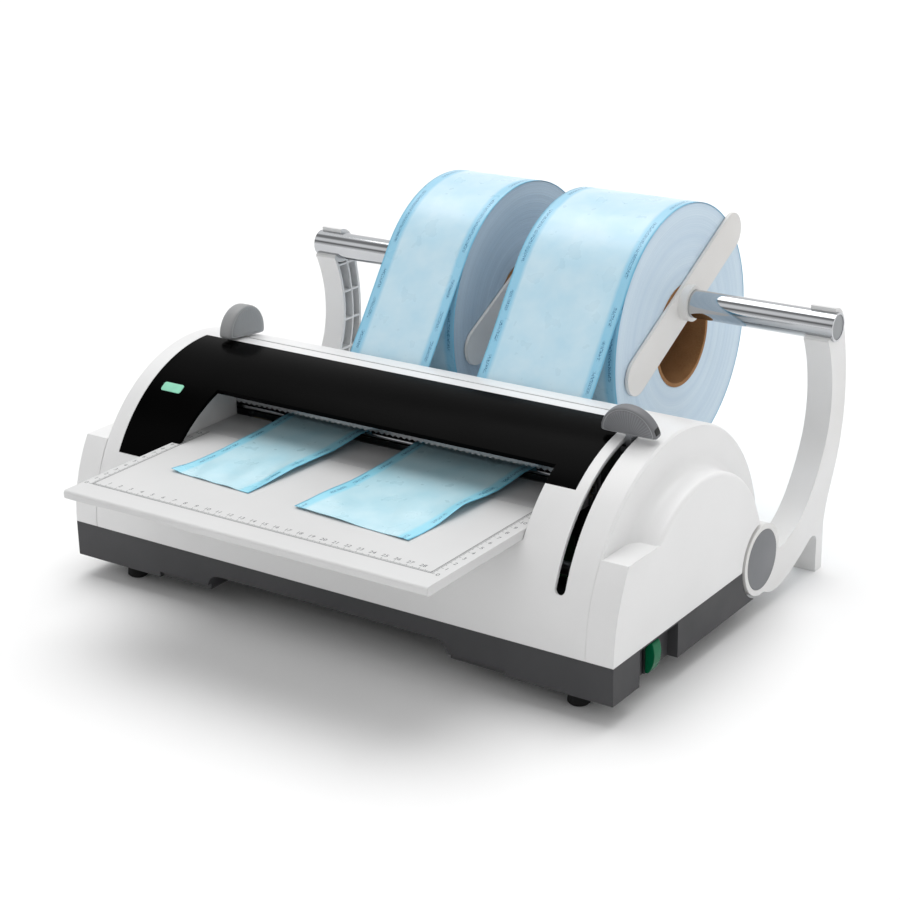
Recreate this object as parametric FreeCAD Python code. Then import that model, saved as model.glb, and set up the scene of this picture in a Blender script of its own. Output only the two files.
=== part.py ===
import FreeCAD, Part
import math
import os

# Bench sealer for sterilising pouches: a half-round housing with a pull-down sealing handle, a
# sliding cutter, a ruler tray in front and a rod with two film rolls on two arms behind.
# Millimetres. +X is right, +Y is back, +Z is up. The front faces -Y and the table is at z = 0.

# Body: a drum with its axis at the parting line, and a smaller stepped drum on each side
drum_half = 217.0
side_step = 20.0
half_width = drum_half + side_step
drum_y = -44.25
drum_z = 44.0
drum_r = 122.0
side_r = 91.5
shoulder_z = 109.0
blend_r = 9.0
ridge_r = 1.5
corner_r = 3.0
wall = 2.5
skin_gap = 0.3
base_bottom = 16.6
recess_top = 21.0
grip_half = 107.0
grip_top = 30.0
grip_depth = 26.0
grip_corner = 10.0

# Opening between the two pods, the table in it and the ruler tray in front of it
pod_w = 61.0
opening_half = drum_half - pod_w
recess_half = opening_half - 2.0
bay_back = -66.75
table_z = 116.0
plate_t = 2.5
seam_y = -109.7
seam_gap = 0.4
tray_front = -255.75
tray_rim = 6.5
tray_rib_t = 1.6
tray_rib_pitch = 44.0
tray_fit = 0.5
tongue_half = 22.0
tongue_x = 90.0
tongue_reach = 9.0
ledge_t = 2.0
ledge_w = 6.0
finger_half = 62.0
finger_sag = 3.0

# Front cover, set flush into the drum
cover_top_y = -45.0
cover_mid_y = -105.75
cover_left = -drum_half + 15.6
cover_right = drum_half - 37.6
cover_right_y = -118.75
cover_left_y = -151.0
cover_cut_x = -opening_half + 16.1
cover_knee_x = -opening_half + 7.7
cover_knee_y = -140.75
cover_t = 2.5
seat_t = 2.2
seat_lap = 7.0

# Pilot lamp in the left wing of the cover
lamp_x = cover_left + 21.8
lamp_w = 19.0
lamp_h = 8.0
lamp_angle = 33.5
lamp_gap = 0.15

# Sealing handle, its slot in the right pod and its travel
lever_x = drum_half - 25.0
lever_t = 4.5
lever_angle = 11.0
lever_travel = 52.5
lever_w = 9.0
slot_w = 8.0
slot_spare = 3.5
slot_run_out = 6.0
knob_bevel = 1.8
knob_foot = 3.0
handle_w = 43.0
handle_h = 20.5
handle_t = 10.0
handle_lift = 3.5
socket_depth = 12.0

# Film path through the machine
film_t = 0.5
film_gap = 0.3
film_z = 123.9
guide_y = -6.0
guide_r = 4.0
cut_y = -31.75
cut_gap = 3.0
feed_slot_w = 11.0
feed_slot_half = opening_half - 6.0

# Sealing station
frame_x = opening_half + 7.0
frame_t = 2.0
frame_front = -64.5
frame_back = 8.0
frame_low_z = 112.0
frame_tower_z = 146.0
frame_notch_back = -20.0
frame_foot = 14.0
shaft_r = 5.0
shaft_end_left = -frame_x - 8.0
seat_gap = 0.06
bush_r = 8.0
run_gap = 0.05
crank_r = 15.0
crank_t = 3.0
crank_pin_r = 2.5
crank_arm = 12.0
crank_nose = 20.0
nose_angle = 18.0
yoke_t = 2.0
yoke_gap = 0.4
yoke_w = 20.0
yoke_back = -50.0
bar_y = -50.0
bar_w = 12.0
bar_h = 12.0
pad_w = 8.0
pad_t = 4.0
pad_gap = 0.3
heater_w = 10.0
heater_h = 12.0
heater_half = opening_half - 7.0
heater_rod_r = 3.0
tape_t = 0.2
exit_bar_y = -59.5
exit_bar_r = 3.0
bracket_in = heater_half - 9.0
bracket_z = 104.0
bracket_t = 4.0
bracket_drop = 20.0
bracket_lap = 10.0
post_x = opening_half - 1.0
post_r = 2.5
spring_wire = 1.2
spring_turns = 4.0

# Tear guard at the exit
guard_t = 2.0
guard_bottom = 127.5
guard_top = 156.0
tear_t = 0.8
tear_bottom = 125.6
tear_h = 6.0
tooth_pitch = 5.0
tooth_h = 1.6

# Cutter
rail_t = 6.0
rail_h = 12.0
rail_z = 140.0
groove_h = 4.0
groove_d = 2.5
slide_gap = 0.25
cutter_park = -drum_half + 40.0
cutter_travel = -2 * cutter_park
carriage_w = 24.0
rail_half = -cutter_park + carriage_w / 2 + 3.0
stem_t = 1.2
stem_w = 8.0
cutter_slot_w = 2.0
cutter_w = 40.5
cutter_h = 23.5
cutter_t = 12.0
cutter_lift = 1.0
blade_t = 0.6
blade_drop = 5.0
bed_w = 9.0
bed_h = 6.5

# Power switch in its side recess, mains inlet and fuse at the back
pocket_front = -131.75
pocket_back = -79.75
pocket_depth = 8.0
switch_y = -107.5
switch_z = 29.2
switch_w = 14.5
switch_h = 25.0
switch_body_h = 19.4
switch_rim = 0.6
switch_play = 0.1
bezel_t = 1.5
rocker_w = 9.5
rocker_h = 22.8
rocker_root_h = 16.0
rocker_root_t = 6.0
rocker_out = 4.0
rocker_bulge = 2.4
rocker_axle = 4.0
rocker_tilt = 7.0
rocker_gap = 0.6
axle_r = 1.5
well_depth = 7.0
well_wall = 0.9
switch_depth = 18.0
inlet_x = -drum_half + 97.0
inlet_z = 30.2
inlet_w = 27.0
inlet_h = 20.0
inlet_depth = 17.0
flange_t = 2.0
fuse_x = inlet_x + 34.0
fuse_r = 7.0

# Electrics on the base floor
board_x = 60.0
board_y = 10.0
board_w = 120.0
board_d = 70.0
board_t = 1.6
standoff_h = 6.0
standoff_r = 3.5
core_x = -110.0
core_y = 10.0
limb_w = 9.0
stack_t = 22.0
coil_out = 8.0
coil_gap = 0.2
end_switch_w = 6.5
end_switch_l = 20.0
end_switch_h = 10.0

# Feet and base screws
foot_x = drum_half - 19.0
foot_front = -144.0
foot_back = 40.0
foot_r = 8.0
screw_r = 3.0

# Roll holder: two arms on hubs at the parting line, a rod in their clips
hub_y = 43.75
hub_r = 27.0
notch_gap = 2.0
arm_gap = 1.0
arm_in = drum_half + arm_gap
arm_out = half_width + arm_gap
arm_wall = 2.5
rib_t = 1.6
cap_r = 22.6
cap_t = 3.0
cap_dome = 0.8
hub_boss_r = 9.0
hub_screw_r = 4.0
rod_y = 152.75
rod_z = 190.3
rod_r = 11.0
rod_bore = 9.5
rod_half = arm_out + 2.0
plug_len = 14.0
clip_t = 3.2
clip_open_from = 95.0
clip_open_to = 215.0
leg_back = 146.75
leg_w = 11.0

# Film rolls on cardboard cores, each hanging from the rod by its core
core_r = 38.0
core_wall = 3.0
roll_r = 103.0
wind_gap = 0.05
roll_a_left = -108.1
roll_a_width = 75.0
roll_b_left = 10.9
roll_b_width = 100.0

# Roll dividers
divider_len = 197.0
divider_w = 30.0
divider_t = 2.5
divider_angle = 28.0
divider_hub = 7.0
divider_gap = 0.3

# Cut pouches that lie from the exit over the table
pouch_a_front = -190.0
pouch_b_front = -199.0
pouch_skew = -3.7
drop_from = -70.0
drop_to = -118.0
lie_gap = 0.3

Vec = FreeCAD.Vector
X_AXIS = Vec(1, 0, 0)
Y_AXIS = Vec(0, 1, 0)
Z_AXIS = Vec(0, 0, 1)


def box(x0, x1, y0, y1, z0, z1):
    return Part.makeBox(x1 - x0, y1 - y0, z1 - z0, Vec(x0, y0, z0))


def rod_x(y, z, r, x0, x1):
    return Part.makeCylinder(r, x1 - x0, Vec(x0, y, z), X_AXIS)


def rod_upright(x, y, r, z0, z1):
    return Part.makeCylinder(r, z1 - z0, Vec(x, y, z0), Z_AXIS)


def slab_x(points, x0, x1):
    """Closed outline in the YZ plane, carried along X."""
    wire = Part.makePolygon([Vec(x0, y, z) for y, z in points + points[:1]])
    return Part.Face(wire).extrude(Vec(x1 - x0, 0, 0))


def slab_z(points, z0, z1):
    """Closed outline in the XY plane, carried up Z."""
    wire = Part.makePolygon([Vec(x, y, z0) for x, y in points + points[:1]])
    return Part.Face(wire).extrude(Vec(0, 0, z1 - z0))


def mirror(shape):
    return shape.mirror(Vec(0, 0, 0), X_AXIS)


def both(shape):
    return [shape, mirror(shape)]


def fuse(shapes):
    """One solid from pieces that touch or overlap."""
    return shapes[0].multiFuse(shapes[1:]).removeSplitter()


def group(shapes):
    return Part.makeCompound(shapes)


def on_drum(shape, angle):
    """Tip a shape about the drum axis, forward of the top."""
    turned = shape.copy()
    turned.rotate(Vec(0, drum_y, drum_z), X_AXIS, angle)
    return turned


def ring(r0, r1, x0, x1):
    outer = rod_x(drum_y, drum_z, r1, x0, x1)
    return outer.cut(rod_x(drum_y, drum_z, r0, x0 - 1, x1 + 1))


def rounded_plate_x(y, z, w, h, r, x0, x1):
    """Upright plate with round corners, its width along Y and its thickness along X."""
    plate = box(x0, x1, y - w / 2, y + w / 2, z - h / 2, z + h / 2)
    edges = [e for e in plate.Edges if abs(e.tangentAt(e.FirstParameter).x) > 0.99]
    return plate.makeFillet(r, edges)


def outer_profile():
    """Half outline of the stepped drum: ridge, side face, blend, small drum and its rounded edge."""
    c = math.sqrt(0.5)
    soft_x = drum_half + blend_r
    soft_r = side_r + blend_r

    def at(x, r):
        return Vec(x, drum_y + r, drum_z)

    parts = [
        Part.makeLine(at(0, 0), at(half_width, 0)),
        Part.makeLine(at(half_width, 0), at(half_width, side_r - corner_r)),
        Part.Arc(at(half_width, side_r - corner_r),
                 at(half_width - corner_r + corner_r * c, side_r - corner_r + corner_r * c),
                 at(half_width - corner_r, side_r)).toShape(),
        Part.makeLine(at(half_width - corner_r, side_r), at(soft_x, side_r)),
        Part.Arc(at(soft_x, side_r), at(soft_x - blend_r * c, soft_r - blend_r * c),
                 at(drum_half, soft_r)).toShape(),
        Part.makeLine(at(drum_half, soft_r), at(drum_half, drum_r - ridge_r)),
        Part.makeLine(at(drum_half, drum_r - ridge_r), at(drum_half - ridge_r, drum_r)),
        Part.makeLine(at(drum_half - ridge_r, drum_r), at(0, drum_r)),
        Part.makeLine(at(0, drum_r), at(0, 0)),
    ]
    return Part.Face(Part.Wire(parts))


def inner_profile():
    """Half outline of the housing's cavity, one wall inside, with plain bevels for the blend and the edge."""
    face = drum_half - wall
    end = half_width - wall
    low = side_r - wall
    points = [(0, 0), (end, 0), (end, low - corner_r), (end - corner_r, low), (face + blend_r, low),
              (face, low + blend_r), (face, drum_r - wall), (0, drum_r - wall), (0, 0)]
    return Part.Face(Part.makePolygon([Vec(x, drum_y + r, drum_z) for x, r in points]))


def stepped_drum(profile, inset):
    """Half drum with its two side drums and the flat shoulders in front of them."""
    half = profile.revolve(Vec(0, drum_y, drum_z), X_AXIS, 180)
    r = drum_r - inset
    shoulder = rod_x(drum_y, drum_z, r, drum_half - inset - 1, half_width - inset)
    front = box(drum_half - inset - 1, half_width - inset, drum_y - r, drum_y, drum_z, shoulder_z - inset)
    right = half.fuse(shoulder.common(front))
    hub = rod_x(hub_y, drum_z, hub_r + notch_gap + inset, drum_half - inset, half_width + 1)
    right = right.cut(hub)
    return right.fuse(mirror(right)).removeSplitter()


def cover_outline(grow):
    """Outline of the front cover seen from above: a wing at each end of a straight strip."""
    g = grow
    return [
        (cover_left - g, cover_top_y + g),
        (cover_right + g, cover_top_y + g),
        (cover_right + g, cover_right_y - g),
        (opening_half - g, cover_right_y - g),
        (opening_half - g, cover_mid_y - g),
        (cover_cut_x + g, cover_mid_y - g),
        (cover_knee_x + g, cover_knee_y),
        (cover_knee_x + g, cover_left_y - g),
        (cover_left - g, cover_left_y - g),
    ]


def cover_body(grow, r0, r1):
    plan = slab_z(cover_outline(grow), drum_z, drum_z + drum_r + 10)
    return ring(r0, r1, cover_left - 5, cover_right + 5).common(plan)


def lamp_block(grow, r0, r1):
    """Rounded bar that follows the drum at the pilot lamp."""
    w = lamp_w / 2 + grow
    h = lamp_h / 2 + grow
    block = box(lamp_x - w, lamp_x + w, drum_y - h, drum_y + h, drum_z + r0 - 5, drum_z + r1 + 5)
    upright = [e for e in block.Edges if abs(e.tangentAt(e.FirstParameter).z) > 0.99]
    block = on_drum(block.makeFillet(h * 0.45, upright), lamp_angle)
    return block.common(ring(r0, r1, lamp_x - lamp_w, lamp_x + lamp_w))


def lever_slot():
    """Round-ended slot on the drum that the lever runs in."""
    first = lever_angle - slot_spare
    last = lever_angle + lever_travel + slot_run_out
    arc = last - first
    face = Part.Face(Part.makePolygon([
        Vec(lever_x - slot_w / 2, drum_y, drum_z + drum_r - 12),
        Vec(lever_x + slot_w / 2, drum_y, drum_z + drum_r - 12),
        Vec(lever_x + slot_w / 2, drum_y, drum_z + drum_r + 4),
        Vec(lever_x - slot_w / 2, drum_y, drum_z + drum_r + 4),
        Vec(lever_x - slot_w / 2, drum_y, drum_z + drum_r - 12)]))
    run = face.revolve(Vec(0, drum_y, drum_z), X_AXIS, arc)
    run.rotate(Vec(0, drum_y, drum_z), X_AXIS, first)
    end = rod_upright(lever_x, drum_y, slot_w / 2, drum_z + drum_r - 12, drum_z + drum_r + 4)
    ends = [on_drum(end, first), on_drum(end, last)]
    return run.fuse(ends)


def film_line():
    """Straight run of the film from the guide up to the roll: its slope, and where it leaves each."""
    axis_z = roll_axis_z()
    near = guide_r + film_gap + film_t / 2
    far = roll_r + film_gap + film_t / 2
    dy = rod_y - guide_y
    dz = axis_z - guide_z()
    slope = math.atan2(dz, dy) + math.asin((near + far) / math.hypot(dy, dz))
    n = (-math.sin(slope), math.cos(slope))
    low = (guide_y - near * n[0], guide_z() - near * n[1])
    high = (rod_y + far * n[0], axis_z + far * n[1])
    return slope, low, high


def guide_z():
    return film_z + film_t + film_gap + guide_r


def roll_axis_z():
    return rod_z + rod_r + film_gap - core_r


def upper_housing():
    """White moulded shell with the two pods, the front wall under the tray and the rear roof."""
    shell = stepped_drum(outer_profile(), 0.0).cut(stepped_drum(inner_profile(), wall))
    top = drum_z + drum_r + 5
    shell = shell.cut(box(-opening_half, opening_half, drum_y - drum_r - 5, cover_top_y + skin_gap,
                          table_z - tray_rim - skin_gap, top))
    pod_wall = rod_x(drum_y, drum_z, drum_r - 0.5, opening_half, opening_half + wall)
    pod_wall = pod_wall.common(box(opening_half, opening_half + wall, drum_y - drum_r, bay_back,
                                   table_z - tray_rim - skin_gap - wall, top))
    ledge_top = table_z - plate_t - skin_gap
    ledge = box(opening_half - ledge_w, opening_half + wall / 2, seam_y + tongue_reach + 2, bay_back,
                ledge_top - ledge_t, ledge_top)
    seat_r = drum_r - cover_t - skin_gap
    seat = ring(seat_r - seat_t, seat_r, opening_half, cover_right + seat_lap)
    seat = seat.common(box(opening_half, cover_right + seat_lap,
                           cover_right_y - seat_lap, cover_top_y + seat_lap, drum_z, top))
    wing = ring(seat_r - seat_t, seat_r, cover_left - seat_lap, -opening_half)
    wing = wing.common(box(cover_left - seat_lap, -opening_half,
                           cover_left_y - seat_lap, cover_top_y + seat_lap, drum_z, top))
    lap = ring(seat_r - seat_t, seat_r, -opening_half - 1, opening_half + 1)
    lap = lap.common(box(-opening_half - 1, opening_half + 1, cover_top_y - seat_lap, cover_top_y + seat_lap,
                         drum_z, top))
    shell = shell.fuse(both(pod_wall) + both(ledge) + [seat, wing, lap])
    shell = shell.cut(cover_body(skin_gap, seat_r, drum_r + 5))
    shell = shell.cut(lever_slot())
    shell = shell.cut(lamp_block(1.0, seat_r - seat_t - 3, drum_r + 3))
    shell = shell.cut(cutter_slot())
    shell = shell.cut(feed_slot())
    for hub in both(rod_x(hub_y, drum_z, hub_r + notch_gap + skin_gap, drum_half - 3 * wall, half_width + 1)):
        shell = shell.cut(hub)
    return shell.removeSplitter()


def cutter_slot():
    """Straight slot behind the front cover for the cutter's stem."""
    left = cutter_park - stem_w / 2 - 1.0
    right = cutter_park + cutter_travel + stem_w / 2 + 1.0
    top = drum_z + drum_r + 5
    slot = box(left, right, cut_y - cutter_slot_w / 2, cut_y + cutter_slot_w / 2, drum_z + drum_r - 25, top)
    return slot


def feed_slot():
    """Slot in the rear roof in line with the film's slope."""
    slope, low, high = film_line()
    middle_y = (low[0] + high[0]) / 2
    middle_z = (low[1] + high[1]) / 2
    half_len = 40.0
    w = feed_slot_w / 2
    slot = box(-feed_slot_half, feed_slot_half, -half_len, half_len, -w, w)
    slot.rotate(Vec(0, 0, 0), X_AXIS, math.degrees(slope))
    slot.translate(Vec(0, middle_y, middle_z))
    return slot.common(ring(drum_r - 15, drum_r + 6, -feed_slot_half, feed_slot_half))


def base_plan(inset, z0, z1):
    """Plan of the base: wide beside the drum's front, narrow behind, with round notches for the hubs."""
    front = drum_y - drum_r + inset
    wide = box(-half_width + inset, half_width - inset, front, drum_y + side_r - inset, z0, z1)
    narrow = box(-drum_half + inset, drum_half - inset, front, drum_y + drum_r - inset, z0, z1)
    plan = wide.fuse(narrow).removeSplitter()
    for hub in both(rod_x(hub_y, drum_z, hub_r + notch_gap + inset, drum_half - inset, half_width + 1)):
        plan = plan.cut(hub)
    return plan


def grip_cut(grow):
    """Wide shallow hand recess under the front edge, with rounded upper corners."""
    front = drum_y - drum_r - 5
    block = box(-grip_half - grow, grip_half + grow, front, drum_y - drum_r + grip_depth + grow,
                base_bottom - 5, grip_top + grow)
    edges = [e for e in block.Edges
             if abs(e.tangentAt(e.FirstParameter).y) > 0.99 and e.CenterOfMass.z > base_bottom]
    return block.makeFillet(grip_corner, edges)


def switch_pocket(grow):
    """Recess in the right side for the switch, open at the bottom."""
    return box(half_width - pocket_depth - grow, half_width + 5, pocket_front - grow, pocket_back + grow,
               base_bottom - 1, drum_z - 1.2 + 3 * grow)


def base_tub():
    """Dark moulded tray that closes the housing from below and carries the feet."""
    outer = base_plan(0.0, base_bottom, drum_z)
    front = drum_y - drum_r
    low_edge = box(-recess_half, recess_half, front - 1, front + wall + 1, base_bottom - 1, recess_top)
    outer = outer.cut(low_edge).cut(grip_cut(0.0)).cut(switch_pocket(0.0))
    inner = base_plan(wall, base_bottom + wall, drum_z + 1)
    step = box(-recess_half - wall, recess_half + wall, front, front + 2 * wall + 1,
               base_bottom, recess_top + wall)
    inner = inner.cut(step).cut(grip_cut(wall)).cut(switch_pocket(wall))
    tub = outer.cut(inner)
    disc_out = rod_x(hub_y, drum_z, hub_r + notch_gap, drum_half - wall, drum_half)
    boss = rod_x(hub_y, drum_z, hub_boss_r, drum_half - 14, drum_half)
    upright = fuse([disc_out, boss])
    posts = []
    for x in (-1, 1):
        for y in (-1, 1):
            posts.append(rod_upright(board_x + x * (board_w / 2 - 6), board_y + y * (board_d / 2 - 6),
                                     standoff_r, base_bottom + wall / 2, base_bottom + wall + standoff_h))
    tub = tub.fuse(both(upright) + posts)
    for hole in both(rod_x(hub_y, drum_z, hub_screw_r + run_gap, drum_half - 20, half_width)):
        tub = tub.cut(hole)
    hole_w = switch_w - 2 * switch_rim + 2 * switch_play
    hole_h = switch_body_h + 2 * switch_play
    tub = tub.cut(rounded_plate_x(switch_y, switch_z, hole_w, hole_h, 0.8,
                                  half_width - pocket_depth - 2 * wall, half_width))
    back = drum_y + drum_r
    tub = tub.cut(box(inlet_x - inlet_w / 2 - 0.1, inlet_x + inlet_w / 2 + 0.1, back - 2 * wall, back + 1,
                      inlet_z - inlet_h / 2 - 0.1, inlet_z + inlet_h / 2 + 0.1))
    tub = tub.cut(Part.makeCylinder(fuse_r - 1 + run_gap, 3 * wall,
                                    Vec(fuse_x, back - 2 * wall, inlet_z), Y_AXIS))
    return tub.cut(vents()).removeSplitter()


def vents():
    """Cooling slots through the floor below the board."""
    slots = []
    for i in range(8):
        x = board_x - 42 + 12 * i
        slots.append(box(x - 2, x + 2, board_y - 22, board_y + 22, base_bottom - 1, base_bottom + wall + 1))
    return group(slots)


def front_cover():
    """Black curved cover over the sealing station."""
    cover = cover_body(0.0, drum_r - cover_t, drum_r)
    over_tray = box(-opening_half, opening_half, drum_y - drum_r, drum_y, drum_z, table_z + skin_gap)
    return cover.cut(over_tray).cut(lamp_block(lamp_gap, drum_r - cover_t - 3, drum_r + 3))


def indicator_lens():
    return lamp_block(0.0, drum_r - cover_t - seat_t - skin_gap - 2, drum_r + 0.3)


def lamp_board():
    """Small circuit board with its lamp behind the lens."""
    seat_in = drum_r - cover_t - skin_gap - seat_t
    plate = box(lamp_x - 14, lamp_x + 14, drum_y - 6, drum_y + 6,
                drum_z + seat_in - 5.2, drum_z + seat_in - 3.6)
    lamp = box(lamp_x - 2.5, lamp_x + 2.5, drum_y - 1.5, drum_y + 1.5,
               drum_z + seat_in - 3.6, drum_z + seat_in - 2.3)
    ends = []
    for x in (lamp_x - 14, lamp_x + 11.6):
        ends.append(box(x, x + 2.4, drum_y - 6, drum_y + 6, drum_z + seat_in - 3.6, drum_z + seat_in - 0.4))
    return on_drum(fuse([plate, lamp] + ends), lamp_angle)


def table_plate():
    """Fixed strip of table between the pods, on their ledges."""
    half = opening_half - skin_gap
    return box(-half, half, seam_y + seam_gap / 2, bay_back - skin_gap, table_z - plate_t, table_z)


def tray():
    """Ruler tray: thin plate with a turned-down rim, ribs below, a finger recess and two tongues."""
    half = opening_half - tray_fit
    back = seam_y - seam_gap / 2
    outer = box(-half, half, tray_front, back, table_z - tray_rim, table_z)
    lip = [e for e in outer.Edges
           if abs(e.tangentAt(e.FirstParameter).x) > 0.99 and e.CenterOfMass.y < tray_front + 1]
    outer = outer.makeFillet(plate_t * 0.8, lip)
    hollow = box(-half + plate_t, half - plate_t, tray_front + 2 * plate_t, back - plate_t,
                 table_z - tray_rim - 1, table_z - plate_t)
    ribs = []
    count = int((2 * half - 2 * plate_t) / tray_rib_pitch)
    for i in range(1, count):
        x = -half + i * 2 * half / count
        ribs.append(box(x - tray_rib_t / 2, x + tray_rib_t / 2, tray_front + plate_t, back - plate_t / 2,
                        table_z - tray_rim + 1, table_z - plate_t / 2))
    plate = outer.cut(hollow).fuse(ribs)
    radius = (finger_half ** 2 + finger_sag ** 2) / (2 * finger_sag)
    centre = Vec(-90, tray_front - radius + finger_sag, table_z - tray_rim - 2)
    scoop = Part.makeCylinder(radius, tray_rim + 2, centre)
    scoop = scoop.common(box(-200, 0, tray_front - 1, tray_front + finger_sag + 1,
                             table_z - tray_rim - 1, table_z - plate_t))
    plate = plate.cut(scoop)
    tongues = []
    for x in (-tongue_x, tongue_x):
        tongues.append(box(x - tongue_half, x + tongue_half, back - plate_t, back + tongue_reach,
                           table_z - tray_rim + 1, table_z - plate_t - skin_gap))
    return plate.fuse(tongues).removeSplitter()


def feet():
    """Four rubber feet with a stepped neck, one near each corner."""
    solids = []
    for x in (-foot_x, foot_x):
        for y in (foot_front, foot_back):
            profile = Part.makePolygon([Vec(0, 0, 0), Vec(foot_r - 1.5, 0, 0), Vec(foot_r, 0, 1.5),
                                        Vec(foot_r - 1, 0, base_bottom), Vec(0, 0, base_bottom),
                                        Vec(0, 0, 0)])
            foot = Part.Face(profile).revolve(Vec(0, 0, 0), Z_AXIS, 360)
            foot.translate(Vec(x, y, 0))
            solids.append(foot)
    return group(solids)


def half_moon(width, height, depth):
    """Thumb piece: a half disc standing on its flat side, bevelled round its arch."""
    half = width / 2
    arc = Part.Arc(Vec(-half, 0, knob_foot), Vec(0, 0, height), Vec(half, 0, knob_foot)).toShape()
    wire = Part.Wire([arc,
                      Part.makeLine(Vec(half, 0, knob_foot), Vec(half - 2, 0, 0)),
                      Part.makeLine(Vec(half - 2, 0, 0), Vec(-half + 2, 0, 0)),
                      Part.makeLine(Vec(-half + 2, 0, 0), Vec(-half, 0, knob_foot))])
    body = Part.Face(wire).extrude(Vec(0, depth, 0))
    body.translate(Vec(0, -depth / 2, 0))
    rim = [e for e in body.Edges
           if e.Length > width * 0.9 and e.CenterOfMass.z > 5
           and abs(abs(e.CenterOfMass.y) - depth / 2) < 0.01]
    return body.makeChamfer(knob_bevel, rim)


def seal_handle():
    """Thumb piece on the sealing lever, hollow from its right end."""
    knob = half_moon(handle_w, handle_h, handle_t)
    mouth = box(handle_w / 2 - 8, handle_w / 2 + 1, -handle_t / 2 + 3, handle_t / 2 - 3,
                knob_foot - 1, knob_foot + 5)
    knob = knob.cut(mouth)
    knob.translate(Vec(lever_x, drum_y, drum_z + drum_r + handle_lift))
    socket = box(lever_x - lever_t / 2 - seat_gap, lever_x + lever_t / 2 + seat_gap,
                 drum_y - lever_w / 2 + 1 - seat_gap, drum_y + lever_w / 2 - 1 + seat_gap,
                 drum_z + drum_r, lever_tip() + seat_gap)
    return on_drum(knob.cut(socket), lever_angle)


def lever_tip():
    return drum_z + drum_r + handle_lift + socket_depth


def handle_lever():
    """Flat steel lever from the cross shaft up through the slot into the handle."""
    x0 = lever_x - lever_t / 2
    x1 = lever_x + lever_t / 2
    tip = lever_tip()
    neck = drum_z + drum_r + handle_lift - 1
    w = lever_w / 2
    right = [(drum_y + 11, drum_z), (drum_y + w, drum_z + 70), (drum_y + w, neck),
             (drum_y + w - 1, neck), (drum_y + w - 1, tip)]
    left = [(2 * drum_y - y, z) for y, z in reversed(right)]
    blade = slab_x(right + left, x0, x1)
    hub = rod_x(drum_y, drum_z, 13, x0 - 2, x1 + 2)
    hole = rod_x(drum_y, drum_z, shaft_r + seat_gap, x0 - 3, x1 + 3)
    return on_drum(fuse([blade, hub]).cut(hole), lever_angle)


def lever_shaft():
    return rod_x(drum_y, drum_z, shaft_r, shaft_end_left, lever_x + lever_t / 2 + 5)


def crank_angle():
    return lever_travel / 2


def crank_pin():
    """Crank pin's centre at rest, in front of the shaft."""
    a = math.radians(crank_angle())
    return drum_y - crank_arm * math.cos(a), drum_z + crank_arm * math.sin(a)


def bar_travel():
    return 2 * crank_arm * math.sin(math.radians(crank_angle()))


def crank_x():
    return frame_x + frame_t / 2 + 0.6


def yoke_x():
    return crank_x() + crank_t + 0.5


def shaft_cranks():
    """A crank disc with its pin at each end of the shaft."""
    y, z = crank_pin()
    disc = rod_x(drum_y, drum_z, crank_r, crank_x(), crank_x() + crank_t)
    nose = slab_x([(drum_y, drum_z - 4), (drum_y + crank_nose, drum_z - 2), (drum_y + crank_nose, drum_z + 2),
                   (drum_y, drum_z + 4)], crank_x(), crank_x() + crank_t)
    nose.rotate(Vec(0, drum_y, drum_z), X_AXIS, nose_angle - lever_travel)
    pin = rod_x(y, z, crank_pin_r, crank_x() + crank_t - 0.5, yoke_x() + yoke_t + 1)
    hole = rod_x(drum_y, drum_z, shaft_r + seat_gap, crank_x() - 1, crank_x() + crank_t + 1)
    return group(both(fuse([disc, nose, pin]).cut(hole)))


def pad_bottom():
    return film_z + film_t + pad_gap + bar_travel()


def pressure_bar():
    """Aluminium bar over the heater, with guide holes near its ends."""
    z0 = pad_bottom() + pad_t
    bar = box(-yoke_x(), yoke_x(), bar_y - bar_w / 2, bar_y + bar_w / 2, z0, z0 + bar_h)
    for x in (-post_x, post_x):
        bar = bar.cut(rod_upright(x, bar_y, post_r + run_gap, z0 - 1, z0 + bar_h + 1))
    return bar


def silicone_pad():
    half = heater_half - 1
    return box(-half, half, bar_y - pad_w / 2, bar_y + pad_w / 2, pad_bottom(), pad_bottom() + pad_t)


def bar_yokes():
    """Steel yokes that hang from the bar's ends down to the crank pins."""
    y, z = crank_pin()
    a = math.radians(crank_angle())
    swing = crank_arm * (1 - math.cos(a))
    top = pad_bottom() + pad_t + bar_h
    head = top - bar_h - pad_t
    plate = slab_x([(yoke_back - yoke_w, z - 12), (yoke_back, z - 12), (yoke_back, head - 8),
                    (bar_y + bar_w / 2, head), (bar_y + bar_w / 2, top), (yoke_back - yoke_w + 8, top),
                    (yoke_back - yoke_w, top - 14)], yoke_x(), yoke_x() + yoke_t)
    h = crank_pin_r + yoke_gap
    window = box(yoke_x() - 1, yoke_x() + yoke_t + 1, y - swing - crank_pin_r - yoke_gap,
                 y + crank_pin_r + yoke_gap, z - h, z + h)
    edges = [e for e in window.Edges if abs(e.tangentAt(e.FirstParameter).x) > 0.99]
    window = window.makeFillet(h * 0.6, edges)
    return group(both(plate.cut(window)))


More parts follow.
